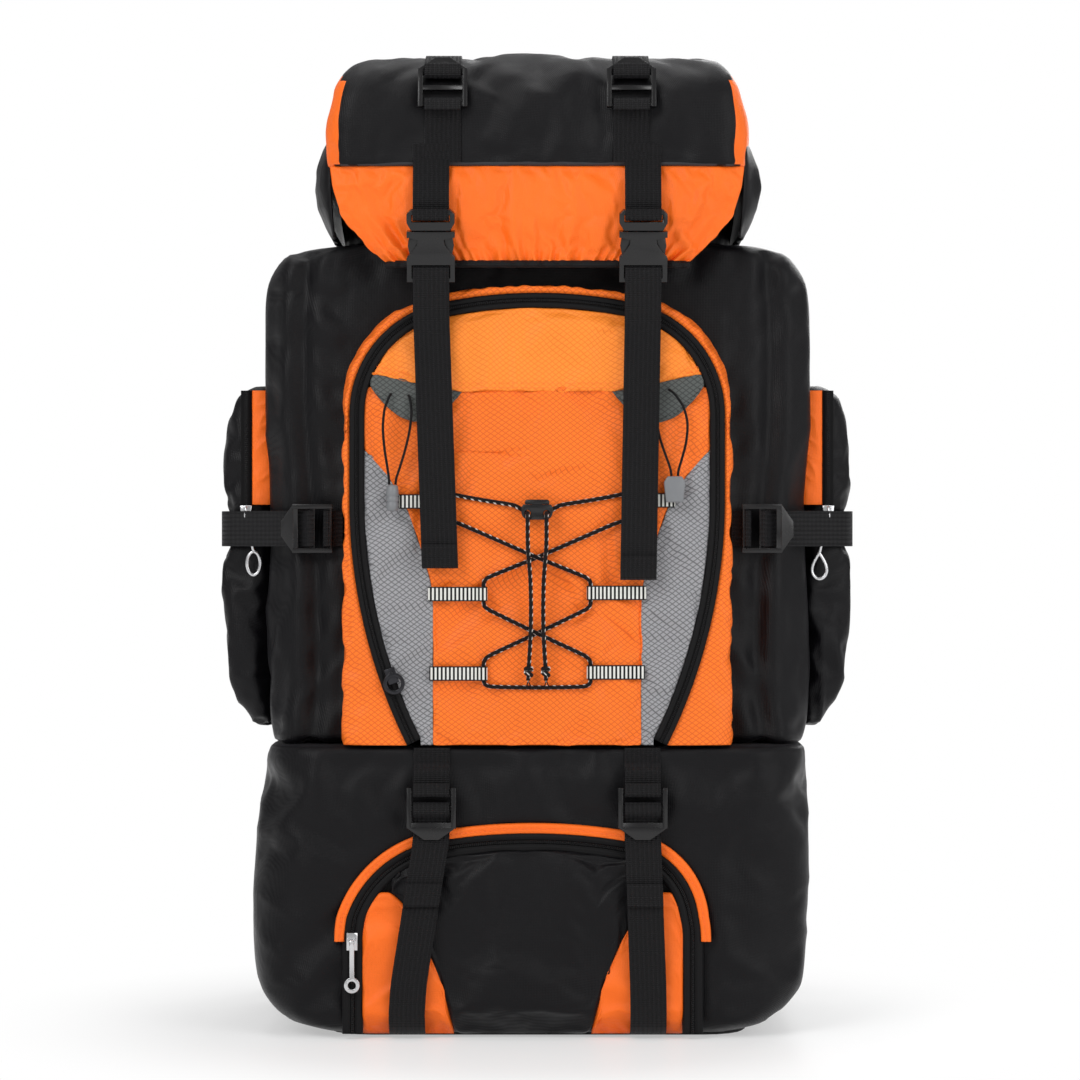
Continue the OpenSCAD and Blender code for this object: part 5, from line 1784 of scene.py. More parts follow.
# ------------------------------------------------------------------ front pocket
@dataclass
class FrontPocket:
    """The arched front pocket: orange gusset, black zip band, door, flap and lacing loops."""

    rim: Arch = field(default_factory=lambda: Arch(135.0, 523.0, 80.0, 330.0, 203.9))
    door: Arch = field(default_factory=lambda: Arch(130.2, 517.4, 79.0, 330.0, 203.6, 40.0))
    band_in: float = 10.6
    foot: float = 204.0
    middle_top: float = 452.0
    grey_top: float = 411.5
    crescent: tuple[float, float] = (52.0, 115.6)
    flap_half: float = 113.5
    seam_z: tuple[float, ...] = (198.0, 302.0, 316.0, 329.0, 350.0, 370.0, 390.0, 405.0, 411.0)
    seam_x: tuple[float, ...] = (72.0, 72.0, 73.5, 77.0, 83.5, 91.0, 103.0, 116.0, 124.0)
    panels: list = field(default_factory=list)

    def build(self, billow: Billow) -> None:
        """Lays the cloth panels and hands them to the simulation.

        Args:
            billow: the simulation.
        """
        rows = [(-1.0, -95.2), (-1.0, -99), (-1.0, -104), (-1.0, -109), (-1.0, -114), (-0.98, -117.5),
            (-0.9, -119.8), (-0.75, -121.1), (-0.6, -121.7), (-0.45, -121.9), (-0.3, -121.8), (-0.15, -121.4),
            (0.0, -120.8), (1.5, -120.3), (3.0, -120.2)]
        gusset = band("pocket_gusset_cloth", self.door, rows, 240, self.rim)
        p = read_points(gusset)
        size = len(rows)
        index = np.arange(len(p)) % size
        held = ((index == 0) | (index >= size - 6) | (p[:, 2] < 205)).astype(float)
        p[:, 1] -= (1 - held) * 0.7 * ripple(p, (9, 9, 22), 71)
        write_points(gusset, p)
        billow.add(gusset, held, within(p, 3.0, self._keep_gusset), slack=0.045, closed=False)
        self.panels.append((gusset, ["pocket_gusset"], "orange_ripstop", RIPSTOP, 1.2))
        self._lay("pocket_middle", 76, 100, self._middle, billow, ["pocket_panel"], "orange_ripstop",
            RIPSTOP, 81, 0.06)
        for side, name in SIDES:
            self._lay(f"pocket_{name}_grey", 26, 84, lambda u, v, s=side: self._grey(s, u, v), billow,
                ["pocket_grey_panels"], "grey_ripstop", GREY, 83 + side, 0.045)
            self._lay(f"pocket_{name}_crescent", 30, 12, lambda u, v, s=side: self._crescent(s, u, v), billow,
                ["pocket_grey_panels"], "grey_ripstop", DARK_GREY, 87 + side, 0.02)
        self._lay("pocket_flap_cloth", 96, 34, self._flap, billow, ["pocket_flap"],
            "orange_ripstop", FLAP, 91, 0.025)

    def _keep_gusset(self, p: Points) -> Points:
        """Keeps the gusset off the side locks and the straps."""
        p[:, 1] = np.clip(p[:, 1], -122.4, -95)
        p[:, 0] = np.clip(p[:, 0], -137.5, 137.5)
        return p

    def _lay(self, name: str, columns: int, rows: int, surface: Surface, billow: Billow, nodes: list[str],
            slot: str, finish: ClothFinish, seed: int, slack: float) -> None:
        """Lays one panel of the door.

        Args:
            name: the piece's name.
            columns: its faces along u.
            rows: its faces along v.
            surface: its shape.
            billow: the simulation.
            nodes: the solids that it replaces.
            slot: the record's slot.
            finish: its finish.
            seed: picks its ripples.
            slack: how much cloth it has to spare.
        """
        sheet = lay_sheet(name, columns, rows, surface, (100.0, 100.0))
        p = read_points(sheet)
        held = edge_of(p, columns)
        start = p.copy()
        p[:, 1] += (1 - held) * 0.9 * ripple(p, (16, 16, 30), seed)
        write_points(sheet, p)
        front = float(start[:, 1].min())

        def keep(q: Points) -> Points:
            """Keeps the panel behind the lacing and off the bag."""
            x = np.abs(q[:, 0])
            covered = (x > 50) & (q[:, 2] > self._scoop(x) - 3)
            least = np.where(covered, -121.9, min(front, -122.6) - 0.6)
            if finish is DARK_GREY:
                least, most = -125.0, -122.7
            else:
                most = max(front, -122.6) + 5.5
            q[:, 1] = np.clip(q[:, 1], -126.5 if finish is FLAP else least, most)
            return q
        billow.add(sheet, held, within(p, 4.5, keep), slack=slack, closed=False)
        self.panels.append((sheet, nodes, slot, finish, 0.9))

    def _middle(self, u: Values, v: Values) -> Points:
        """Places the door's orange middle."""
        z = self.foot + v * (self.middle_top - self.foot)
        half = np.minimum(np.interp(z, self.seam_z, self.seam_x), self.door.width(z, self.band_in))
        x = (2 * u - 1) * half
        crown = unit(1 - (2 * u - 1) ** 4)
        return stack([x, -121.2 - 1.2 * crown, z])

    def _grey(self, side: int, u: Values, v: Values) -> Points:
        """Places a grey side panel."""
        z = self.foot + v * (self.grey_top - self.foot)
        inner = np.interp(z, self.seam_z, self.seam_x) + 0.2
        outer = np.maximum(self.door.width(z, self.band_in), inner + 0.2)
        x = inner + u * (outer - inner)
        crown = unit(np.sin(math.pi * u)) ** 0.6
        return stack([side * x, -121.1 - 1.4 * crown, z])

    def _edge(self, x: Values) -> Values:
        """Gives the height of the flap's lower edge."""
        return np.interp(np.abs(x), [0, 54, 72, 90, 115, 135], [449, 449, 452, 456, 461.5, 466])

    def _crescent(self, side: int, u: Values, v: Values) -> Points:
        """Places a grey crescent under the flap."""
        x = self.crescent[0] + u * (self.crescent[1] - self.crescent[0])
        low = self._scoop(x)
        top = np.minimum(self._edge(x) + 0.8, self.door.height(x, self.band_in))
        z = low + v * (top - low)
        crown = unit(np.sin(math.pi * unit(0.12 + v * 0.88))) ** 0.5 * unit(np.sin(math.pi * u)) ** 0.3
        return stack([side * x, -122.4 - 2.0 * crown, z])

    def _scoop(self, x: Values) -> Values:
        """Gives the height of a crescent's lower edge."""
        return np.interp(x, [52, 60, 66, 75, 85, 95, 104, 112, 119],
            [448.6, 439, 433, 428.6, 427.5, 431, 438, 447, 458])

    def _flap(self, u: Values, v: Values) -> Points:
        """Places the flap, from its turned hem up."""
        x = self.flap_half * np.sin((u - 0.5) * math.pi)
        low, top = self._edge(x), self.door.height(x, self.band_in)
        z = low + unit(v - 0.06) / 0.94 * (top - low) - 0.5 * np.sin(unit(v / 0.06) * math.pi)
        fold = np.interp(v, [0, 0.03, 0.06, 0.12, 0.2, 0.85, 1.0],
            [-122.6, -123.6, -125.0, -125.3, -124.9, -123.6, -121.6])
        return stack([x, fold + self._bow(x), z])

    def _bow(self, x: Values) -> Values:
        """Gives how far the flap curves back at its ends."""
        return 1.6 * np.abs(x / self.flap_half) ** 6

    def finish(self) -> None:
        """Finishes the panels and sews on the zip band, the seams and the loops."""
        for sheet, nodes, slot, finish, thick in self.panels:
            p = read_points(sheet)
            if sheet.name == "pocket_middle":
                x = np.abs(p[:, 0])
                p[:, 1] += self._drag(p) * ((x < 48) | (p[:, 2] < self._scoop(x) - 8))
                write_points(sheet, p)
            finish_sheet(sheet, FRONT, thick)
            dress(sheet, "root", slot, finish, nodes=nodes)
        rows = [(0.0, -120.8), (0.3, -123.0), (1.6, -123.6), (3.7, -123.5), (4.0, -122.8), (6.2, -122.8),
            (6.5, -123.5), (8.6, -123.6), (10.2, -123.2), (10.7, -121.0)]
        tape = band("pocket_zip_tape", self.door, rows, 260)
        finish_sheet(tape, FRONT, 0.8, 0)
        dress(tape, "root", "zip", TAPE, nodes=["pocket_zip"])
        coil = band("pocket_zip_coil", self.door, [(3.9, -122.9), (4.0, -123.7), (4.8, -124.0), (5.1, -123.7),
            (5.4, -124.0), (6.2, -123.7), (6.3, -122.9)], 640)
        face_out(coil, FRONT)
        dress(coil, "root", "zip", COIL)
        self._sew()
        self._loops()

    def _drag(self, p: Points) -> Values:
        """Gives the depth of the folds that the lacing pulls in the orange middle."""
        depth = np.zeros(len(p))
        for x, z in [(side * eye, z) for side in (1, -1) for z, eye, _ in LACE_EYES]:
            dx, dz = p[:, 0] - x, p[:, 2] - z
            reach = np.hypot(dx, dz)
            rays = np.sin(np.arctan2(dz, dx) * 5 + x)
            depth += 1.1 * rays * np.exp(-((reach - 22) / 18.0) ** 2)
        upright = np.sin((p[:, 0] + 14 * np.sin(p[:, 2] / 37.0)) / 9.5)
        upright *= unit((p[:, 2] - 385) / 40) * unit((449 - p[:, 2]) / 10)
        edge = unit((np.interp(p[:, 2], self.seam_z, self.seam_x) - np.abs(p[:, 0])) / 12)
        return (depth + 0.9 * upright) * edge

    def _sew(self) -> None:
        """Sews the stitch rows of the flap and the crescents."""
        x = np.linspace(-111, 111, 160)
        for k, lift in ((0, 2.4), (1, 5.6)):
            line = stack([x, np.full(160, -125.35 if k == 0 else -125.1) + self._bow(x), self._edge(x) + lift])
            dress(stitches(f"flap_stitches_{k + 1}", line, FRONT, 3.0, 0.5), "root", "orange_ripstop", THREAD)
        for side, name in SIDES:
            x = np.linspace(57, 113.0, 60)
            low = self._scoop(x) + 2.4
            line = stack([side * x, np.full(60, -123.9), low])
            dress(stitches(f"{name}_crescent_stitches", line, FRONT, 3.0, 0.5), "root",
                "grey_ripstop", BLACK_THREAD)

    def _loops(self) -> None:
        """Sews on the six barred lacing loops."""
        for k, (z, eye, outer) in enumerate(LACE_EYES):
            for side, name in SIDES:
                ring = [(eye - 2.35 * math.sin(math.radians(a)), -126.3 + 2.35 * math.cos(math.radians(a)))
                    for a in range(0, 181, 20)]
                line = [(outer, -123.9)] + [(eye + 8, -123.9)] + ring + [(eye + 8, -125.6), (outer, -125.0),
                    (outer + 1.5, -124.2)]
                loop = strap(f"{name}_lace_loop_{k + 1}", [(side * x, y, z + 0.4 * side) for x, y in line],
                    10.0, (0, 0, 1), 0.8, 1.6)
                dress(loop, "root", "loop_tape", LOOP_TAPE, nodes=["lacing_loops"])


# ------------------------------------------------------------------ lid
@dataclass
class Lid:
    """The floating lid with its gathered skirts."""

    foot: float = 603.3
    top: float = 682.3
    skirt_y: float = -129.6
    soft: list = field(default_factory=list)

    def build(self, billow: Billow) -> None:
        """Lofts the lid and hangs its skirts.

        Args:
            billow: the simulation.
        """
        levels = [pole(self.foot + 0.5, -6), Level(self.foot + 0.3, 138, -126, 113, 12, rows=4),
            Level(self.foot + 1.2, 143.5, -131.5, 118.5, 16, rows=1)]
        for z in (606, 612, 622, 632, 639, 646, 652, 658, 663, 667, 671, 674.5, 677.5, 680, 681.6, 682.2):
            rise = (z - 647.3) / 35
            front = -98 - 35 * (math.sqrt(max(0.0, 1 - rise**2)) if rise > 0 else 1.0)
            lift = (z - 650.3) / 32.2
            low = float(np.interp(z, [603, 636, 650.3], [144.5, 145, 140]))
            half = low if lift < 0 else 108 + 32 * math.sqrt(max(0.0, 1 - lift**2))
            back = 119.8 - 12 * max(0.0, (z - 670) / 12.3) ** 1.5
            levels.append(Level(z, half, front, back, 17))
        levels.append(pole(self.top, 4, rows=18))
        bag = loft("lid_cloth", levels, 170, 5.0)
        p = read_points(bag)
        sewn = (p[:, 2] < 606) | ((np.abs(np.abs(p[:, 0]) - 65) < 15) & (p[:, 1] < 108)) | ((p[:, 2] > 682)
            & (np.hypot(p[:, 0] * 0.8, p[:, 1] - 4) < 42))
        fill_slots(bag, NYLON, ORANGE, LINING)
        paint(bag, 1, lambda c, m: (np.abs(m[:, 0]) > 0.62) & (c[:, 2] > 605) & (c[:, 2] < 667))
        paint(bag, 2, lambda c, m: m[:, 2] < -0.7)
        swell(bag, np.where(sewn, 0, 0.9 * ripple(p, (30, 26, 24), 101)))
        billow.add(bag, sewn.astype(float), within(p, 5.0, self._keep), pressure=1.6, slack=0.045)
        self.soft.append(bag)

        def skirt(u: Values, v: Values) -> Points:
            """Places the gathered orange skirt, from the lid down."""
            z = 604.5 - v * 66.5
            half = np.interp(z, [538, 548, 569, 590, 605], [105, 116, 135, 141.5, 143.5])
            s = 2 * u - 1
            x = s * half
            gather = (v ** 5 * 1.9 * np.sin(s * 105 + 3 * np.sin(s * 11.0))
                + v ** 1.4 * 2.2 * np.sin(s * 47 + 3 * np.sin(s * 7.0)) + v ** 0.6 * 1.2 * np.sin(s * 23 + 1.0))
            crumple = ripple(stack([x + 0.5 * z, z, z]), (9, 20, 24), 105)
            belly = -3.0 * np.sin(math.pi * v ** 0.85) + (0.25 + 0.75 * v) * 1.5 * crumple
            wrap = self._wrap(s)
            return stack([x, self.skirt_y + belly + gather * 0.7 + wrap * (0.6 + 0.4 * v), z])

        front = lay_sheet("lid_skirt_cloth", 170, 34, skirt, (290.0, 70.0))
        p = read_points(front)
        held = edge_of(p, 170)
        billow.add(front, held, within(p, 4.0, self._keep_skirt), slack=0.06, closed=False)
        self.soft.append(front)

    def _keep(self, p: Points) -> Points:
        """Keeps the lid's cloth under its straps."""
        strapped = np.abs(np.abs(p[:, 0]) - 67) < 18
        p[:, 2] = np.clip(p[:, 2], 603.4, np.where(strapped, 682.3, 686))
        p[:, 1] = np.clip(p[:, 1], np.where(strapped, -133, -138), 122)
        p[:, 0] = np.clip(p[:, 0], -150, 150)
        return p

    def _wrap(self, s: Values) -> Values:
        """Gives how far the skirt's ends turn back round the lid."""
        return 14 * unit(np.abs(s) - 0.86) ** 1.3 / 0.14

    def _keep_skirt(self, p: Points) -> Points:
        """Keeps the skirt between the bag and the buckles."""
        buckled = np.abs(np.abs(p[:, 0]) - STRAP_X) < 19
        p[:, 1] = np.clip(p[:, 1], np.where(buckled, -134.5, -139), -117)
        return p

    def finish(self) -> None:
        """Finishes the lid, its hem, its side skirts and its seams."""
        bag, front = self.soft
        subdivide(bag)
        p, n = read_points(bag), read_normals(bag)
        piping = 0.9 * np.exp(-((np.abs(n[:, 0]) - 0.62) / 0.07) ** 2) * (p[:, 2] < 670) * (p[:, 2] > 606)
        swell(bag, piping + 0.2 * ripple(p, 9, 103))
        dress(bag, "lid", "black_fabric", nodes=["lid_bag"])
        finish_sheet(front, FRONT, 1.2)
        dress(front, "lid", "orange_ripstop", ORANGE, nodes=["lid_front_skirt"])
        s = np.linspace(-1, 1, 240)
        gather = 2.2 * np.sin(s * 47 + 3 * np.sin(s * 7.0)) + 1.2 * np.sin(s * 23 + 1.0)
        wrap = self._wrap(s)
        line = stack([s * 104.5, self.skirt_y + gather * 0.5 + wrap, np.full(240, 536.6)])
        hem = cord_tube("lid_skirt_hem", line, 2.6, 10)
        dress(hem, "lid", "black_fabric", BINDING)
        for side, name in SIDES:
            self._side_skirt(side, name)

    def _side_skirt(self, side: int, name: str) -> None:
        """Hangs a black side skirt that bellies out under the lid.

        Args:
            side: -1 for the left, 1 for the right.
            name: the side's name.
        """
        def surface(u: Values, v: Values) -> Points:
            """Places the skirt, from the lid's side down."""
            y = -122.0 + u * 222.0
            z = 627.0 - v * (627.0 - 556.5)
            ends = unit(np.minimum(u / 0.1, (1 - u) / 0.16)) ** 0.7
            belly = np.interp(v, [0, 0.12, 0.3, 0.5, 0.7, 0.85, 1.0], [0.2, 5.5, 11.0, 12.5, 11, 6.5, 1.0])
            folds = (1.5 * np.sin(y / 5.2 + 1.7 * np.sin(y / 31) + side) * v ** 0.8
                + 1.3 * ripple(stack([y, z, z]), (14, 22, 22), 111 + side))
            x = 144.6 - 3.0 * v + ends * (belly + folds * unit(v * 4))
            return stack([side * x, y + 6 * (1 - ends) * np.where(u < 0.5, 1, -1), z])

        cloth = lay_sheet(f"lid_{name}_skirt", 110, 26, surface, (222.0, 80.0))
        finish_sheet(cloth, (side, 0, 0), 1.4)
        dress(cloth, "lid", "black_fabric", NYLON, nodes=["lid_side_skirts"])


# ------------------------------------------------------------------ fittings
def copy_solid(node: str, name: str) -> Mesh:
    """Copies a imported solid's mesh into a new piece with whole flat faces.

    Args:
        node: the solid's name.
        name: the new piece's name.

    Returns:
        The new piece, without materials.
    """
    clear_selection()
    bpy.ops.mesh.primitive_cube_add(size=0.01)
    piece = bpy.context.object
    cube = piece.data
    piece.data = frame["nodes"][node].data.copy()
    bpy.data.meshes.remove(cube)
    piece.name = piece.data.name = name
    piece.data.materials.clear()
    weld(piece)
    with editing():
        bpy.ops.mesh.dissolve_limited(angle_limit=math.radians(0.6))
    return piece


def soften(piece: Mesh, edge: float) -> None:
    """Rounds a moulding's edges.

    Args:
        piece: the moulding.
        edge: the edges' radius in millimetres.
    """
    apply_modifier(piece, "BEVEL", width=edge * MM, segments=2, limit_method="ANGLE",
        angle_limit=math.radians(32))
    bpy.ops.object.shade_smooth_by_angle(angle=math.radians(48))


@dataclass(frozen=True)
class Moulding:
    """A moulded or cast fitting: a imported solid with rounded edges.

    Args:
        node: the solid.
        finish: its finish.
        slot: the record's slot.
        edge: its edges' radius in millimetres.
        webbed: whether the solid holds webbing too, which is taken out.
        shift: how far it is moved along X.
    """

    node: str
    finish: HardFinish
    slot: str = "buckle"
    edge: float = 0.55
    webbed: bool = False
    shift: float = 0.0

    def build(self) -> Mesh:
        """Builds the fitting.

        Returns:
            The dressed piece.
        """
        piece = copy_solid(self.node, self.node + "_moulding")
        if self.webbed:
            piece = self._without_webbing(piece)
        if self.shift:
            write_points(piece, read_points(piece) + [self.shift, 0, 0])
        soften(piece, self.edge)
        return dress(piece, frame["nodes"][self.node]["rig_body"], self.slot, self.finish, nodes=[self.node])

    def _without_webbing(self, piece: Mesh) -> Mesh:
        """Takes out the tallest shell, which is the webbing.

        Args:
            piece: the copied solid.

        Returns:
            The shells that are left, joined.
        """
        before = set(bpy.data.objects)
        take(piece)
        with editing():
            bpy.ops.mesh.separate(type="LOOSE")
        shells = sorted([piece] + [o for o in bpy.data.objects if o not in before],
            key=lambda o: float(np.ptp(read_points(o)[:, 2])))
        clear_selection()
        bpy.data.objects.remove(shells.pop())
        return join(self.node + "_moulding", shells)


@dataclass(frozen=True)
class ZipPull:
    """A cast zip slider with its bridge, its tab and a ring or teardrop.

    Args:
        node: the solid that it replaces.
        place: the slider's middle.
        ring: the ring's middle, as x and z.
        size: half the ring's width and height.
        drop: how far the ring narrows at its top, from 0 to 1.
    """

    node: str
    place: tuple[float, float, float]
    ring: tuple[float, float]
    size: tuple[float, float]
    drop: float = 0.0

    def build(self) -> None:
        """Builds the slider and its pull."""
        x, y, z = self.place
        clear_selection()
        bpy.ops.mesh.primitive_cube_add(size=1.0)
        body = bpy.context.object
        p = read_points(body) * MM
        narrow = np.where(p[:, 2] > 0, 1.0, 0.72)
        write_points(body, stack([x + p[:, 0] * 8.8 * narrow, y + p[:, 1] * 3.2, z + p[:, 2] * 9.6]))
        soften(body, 0.7)
        bridge = cord_tube("bridge", flow([(x, y - 1.4, z + 3.6), (x, y - 3.0, z + 3.0), (x, y - 3.6, z),
            (x, y - 3.0, z - 2.8), (x, y - 1.4, z - 3.4)], 0.8), 1.0, 8)
        turn = np.linspace(math.pi / 2, math.pi / 2 + math.tau, 49)
        thin = 1 - self.drop * 0.5 * (1 + np.sin(turn)) ** 2 / 2
        hang = y - 2.4
        loop = stack([self.ring[0] + self.size[0] * np.cos(turn) * thin, np.full(49, hang),
            self.ring[1] + self.size[1] * np.sin(turn)])
        ring = cord_tube("ring", loop, 1.35, 10)
        top = (self.ring[0], hang, self.ring[1] + self.size[1])
        tab = cord_tube("tab", flow([(x, y - 4.4, z - 0.4), (x, y - 4.6, z - 3), (0.5 * (x + top[0]),
            hang - 0.6, 0.5 * (z + top[2])), top], 1.5), 1.25, 10)
        piece = join(self.node + "_pull", [body, bridge, tab, ring])
        dress(piece, frame["nodes"][self.node]["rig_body"], "slider", SILVER, nodes=[self.node])


def build_fittings() -> None:
    """Builds every moulded and cast fitting and finishes the frame sheet."""
    for node in ("lid_sockets", "lid_latches", "lid_locks", "ladder_locks", "cord_lock", "cord_lock_button",
            "collar_lock", "left_outer_arm", "left_inner_arm", "right_outer_arm", "right_inner_arm"):
        Moulding(node, ACETAL).build()
    for node in ("hip_socket_strap", "hip_latch_strap", "sternum_socket_strap", "sternum_latch_strap"):
        Moulding(node, ACETAL, webbed=True).build()
    Moulding("base_slider", SILVER, "slider", 0.4, shift=DOOR_LEAN).build()
    Moulding("base_pull", SILVER, "slider", 0.35, shift=DOOR_LEAN).build()
    Moulding("pocket_slider", GUNMETAL, "dark_slider", 0.35).build()
    ZipPull("left_side_slider", (-206.2, -64.6, 365.8), (-200.6, 329.5), (4.6, 8.2)).build()
    ZipPull("right_side_slider", (206.2, -64.6, 365.8), (199.6, 327.5), (6.0, 9.0), 0.75).build()
    for node, finish in (("frame_stays", ALLOY), ("frame_sheet", SHEET_PLASTIC)):
        for place in frame["nodes"][node].material_slots:
            place.material = finish.material()


# ------------------------------------------------------------------ webbing
def turned(pairs: Sequence[tuple[float, float]], centre: tuple[float, float],
        degrees: float) -> list[tuple[float, float]]:
    """Puts outward and height pairs of a fitting's own frame in the pack's y and z.

    Args:
        pairs: the points in the fitting's frame.
        centre: the fitting's y and z.
        degrees: how far it is tilted.

    Returns:
        The y and z of each point.
    """
    c, s = math.cos(math.radians(degrees)), math.sin(math.radians(degrees))
    return [(centre[0] + y * c - z * s, centre[1] + y * s + z * c) for y, z in pairs]


@dataclass(frozen=True)
class Webbing:
    """The flat webbing that closes the pack, threaded through its locks and buckles."""

    at: float = STRAP_X
    lid_at: float = 65.0
    anchor: tuple = ((2.8, 26), (2.8, 9), (1.3, 8.3), (-1.3, 8.3), (-2.8, 9.5), (-2.8, 16.8))
    feed: tuple = ((2.8, 1.9), (1.8, 3.1), (-1.8, 3.1), (-2.8, 1.9), (-2.8, -2.4), (-1, -5.0), (1.8, -6.7))
    socket: tuple = ((4.3, -31), (4.3, -17.4), (2.8, -15.3), (-2.8, -15.3), (-4.3, -17.4), (-4.3, -31))
    latch: tuple = ((5.9, 28), (5.9, 18), (-5.9, 18), (-5.9, 25))
    buckle: tuple = (-141.63, 549.3)
    tilt: float = 11.388
    low_lock: tuple = (-131.2, 161.0)
    nose: tuple = (-98.0, 647.3)
    nose_tilt: float = 14.0

    def build(self) -> None:
        """Runs every strap on both sides."""
        for side, name in SIDES:
            self._buckle_strap(side, name)
            self._lower_strap(side, name)
            self._side_strap(side, name)
            self._lid_straps(side, name)

    def _run(self, name: str, body: str, node: str, x: Callable[[float], float],
            line: Sequence[tuple[float, float]], folded: bool = False) -> None:
        """Runs one strap in the pack's side view.

        Args:
            name: the piece's name.
            body: the body that it rides on.
            node: the solid that it replaces.
            x: gives its sideways place at each height.
            line: its y and z.
            folded: whether its end is turned over and sewn.
        """
        line = list(line)
        if folded:
            y, z = line[-1]
            line += [(y - 0.6, z - 0.9), (y - 1.5, z - 0.4), (y - 1.7, z + 2), (y - 1.7, z + 15)]
        web = strap(name, [(x(z), y, z) for y, z in line], 25.0, ACROSS, 1.6, 1.5)
        dress(web, body, "webbing", WEBBING, nodes=[node])
        if folded:
            y, z = line[-1]
            for k, lift in enumerate((2.0, 9.5)):
                row = np.array([(x(z) + s, y - 0.85, z - lift) for s in np.linspace(-10.5, 10.5, 12)])
                dress(stitches(f"{name}_tack_{k + 1}", row, FRONT, 2.6, 0.5), body, "webbing", BLACK_THREAD)

    def _buckle_strap(self, side: int, name: str) -> None:
        """Sews a strap to the pocket's top, up through its socket and down as a tail."""
        end, drift = (328.0, 6.0) if side < 0 else (320.0, -3.0)

        def x(z: float) -> float:
            """Lets the tail hang a little off its line."""
            return side * self.at + drift * max(0.0, (500.0 - z) / 172.0)
        weave = turned(self.socket, self.buckle, self.tilt)
        line = [(-126.4, 507.3)] + weave + [(-134.6, 500), (-131.8, 486), (-131.4, 460), (-131.9, 420),
            (-131.5, 380), (-132.2, 350), (-131.8, end)]
        self._run(f"{name}_buckle_strap", "root", "socket_straps", x, line, True)
        foot = strap(f"{name}_strap_foot", [(side * self.at, -126.4, 490.6), (side * self.at, -126.3, 499),
            (side * self.at, -126.5, 507.6)], 25.0, ACROSS, 1.6, 2.0)
        dress(foot, "root", "webbing", WEBBING, nodes=["socket_straps"])

    def _lower_strap(self, side: int, name: str) -> None:
        """Sews a strap to the seam above its lock, and another through the lock from the base."""
        drift = -17.0 if side < 0 else 4.0

        def x(z: float) -> float:
            """Leans the strap outwards below its lock."""
            return side * self.at + drift * min(1.0, max(0.0, (140.0 - z) / 110.0))
        top = turned(self.anchor, self.low_lock, 0)
        self._run(f"{name}_lower_anchor", "root", "lower_straps", x, [(-121.0, 202), (-121.4, 196),
            (-122.6, 191)] + top)
        feed = turned(self.feed, self.low_lock, 0)
        line = [(-110, 2.6), (-118.5, 4.4), (-125.4, 10), (-129.0, 20), (-129.5, 40), (-129.4, 80),
            (-129.3, 126), (-126.5, 139), (-126.5, 152)]
        line += feed + [(-128.4, 150.5), (-129.2, 145), (-131.7, 134), (-132.0, 112), (-131.8, 94)]
        self._run(f"{name}_lower_strap", "root", "lower_straps", x, line, True)

    def _side_strap(self, side: int, name: str) -> None:
        """Wraps a strap round a side pocket."""
        bar, lock = 145.2, (157.0, -100.4)
        inner = [(136, -96.1), (139.5, -96.1), (bar + 1.8, lock[1] + 2.8), (bar + 3.4, lock[1] + 1.2),
            (bar + 3.4, lock[1] - 1.9), (bar + 2, lock[1] - 3.0), (bar - 1, lock[1] - 3.0)]
        outer = [(lock[0] - 1.2, lock[1] - 2.8), (lock[0] + 2.9, lock[1] - 2.8), (lock[0] + 7, lock[1] + 2.8),
            (lock[0] + 15.3, lock[1] + 2.8)]
        outer += [tuple(p) for p in arc((206.3, -46), 17.9, 305, 360, 6)]
        outer += [tuple(p) for p in arc((206.3, 46), 17.9, 0, 90, 8)]
        outer += [(194.3, 63), (189.3, 72), (189.3, 82)]
        for part, line in (("side_anchor", inner), ("side_strap", outer)):
            web = strap(f"{name}_{part}", [(side * x, y, SIDE_STRAP_Z) for x, y in line], 25.0,
                (0, 0, 1), 1.6, 1.6)
            dress(web, "root", "webbing", WEBBING, nodes=["side_straps"])

    def _lid_straps(self, side: int, name: str) -> None:
        """Runs the straps over the lid, down its front and to the buckle's latch."""
        reach = 40.4
        turn = math.radians(self.nose_tilt)
        lock = (self.nose[0] - reach * math.cos(turn), self.nose[1] + reach * math.sin(turn))
        over = [(106.0, 683.4), (60, 683.5), (0, 683.5), (-60, 683.4)]
        over += [tuple(p) for p in arc(self.nose, 36.1, 90, 143, 7)]
        over += turned([(y - (0.6 if k > 1 else 0), z) for k, (y, z) in enumerate(self.anchor[1:])],
            lock, -self.nose_tilt)
        self._run(f"{name}_lid_strap", "lid", "lid_webbing", lambda z: side * self.lid_at, over)
        front = [(-134.1, 606.5), (-134.1, 621.3), (-134.1, 633.3)]
        front += turned([(y, -z) for y, z in self.anchor[1:]], lock, -self.nose_tilt)
        self._run(f"{name}_lid_front_strap", "lid", "lid_webbing", lambda z: side * self.lid_at, front)
        hang = [(-134.3, 619.3), (-134.2, 607.3)] + turned(self.latch, self.buckle, self.tilt)
        self._run(f"{name}_latch_strap", "lid", "lid_webbing", lambda z: side * self.at, hang)


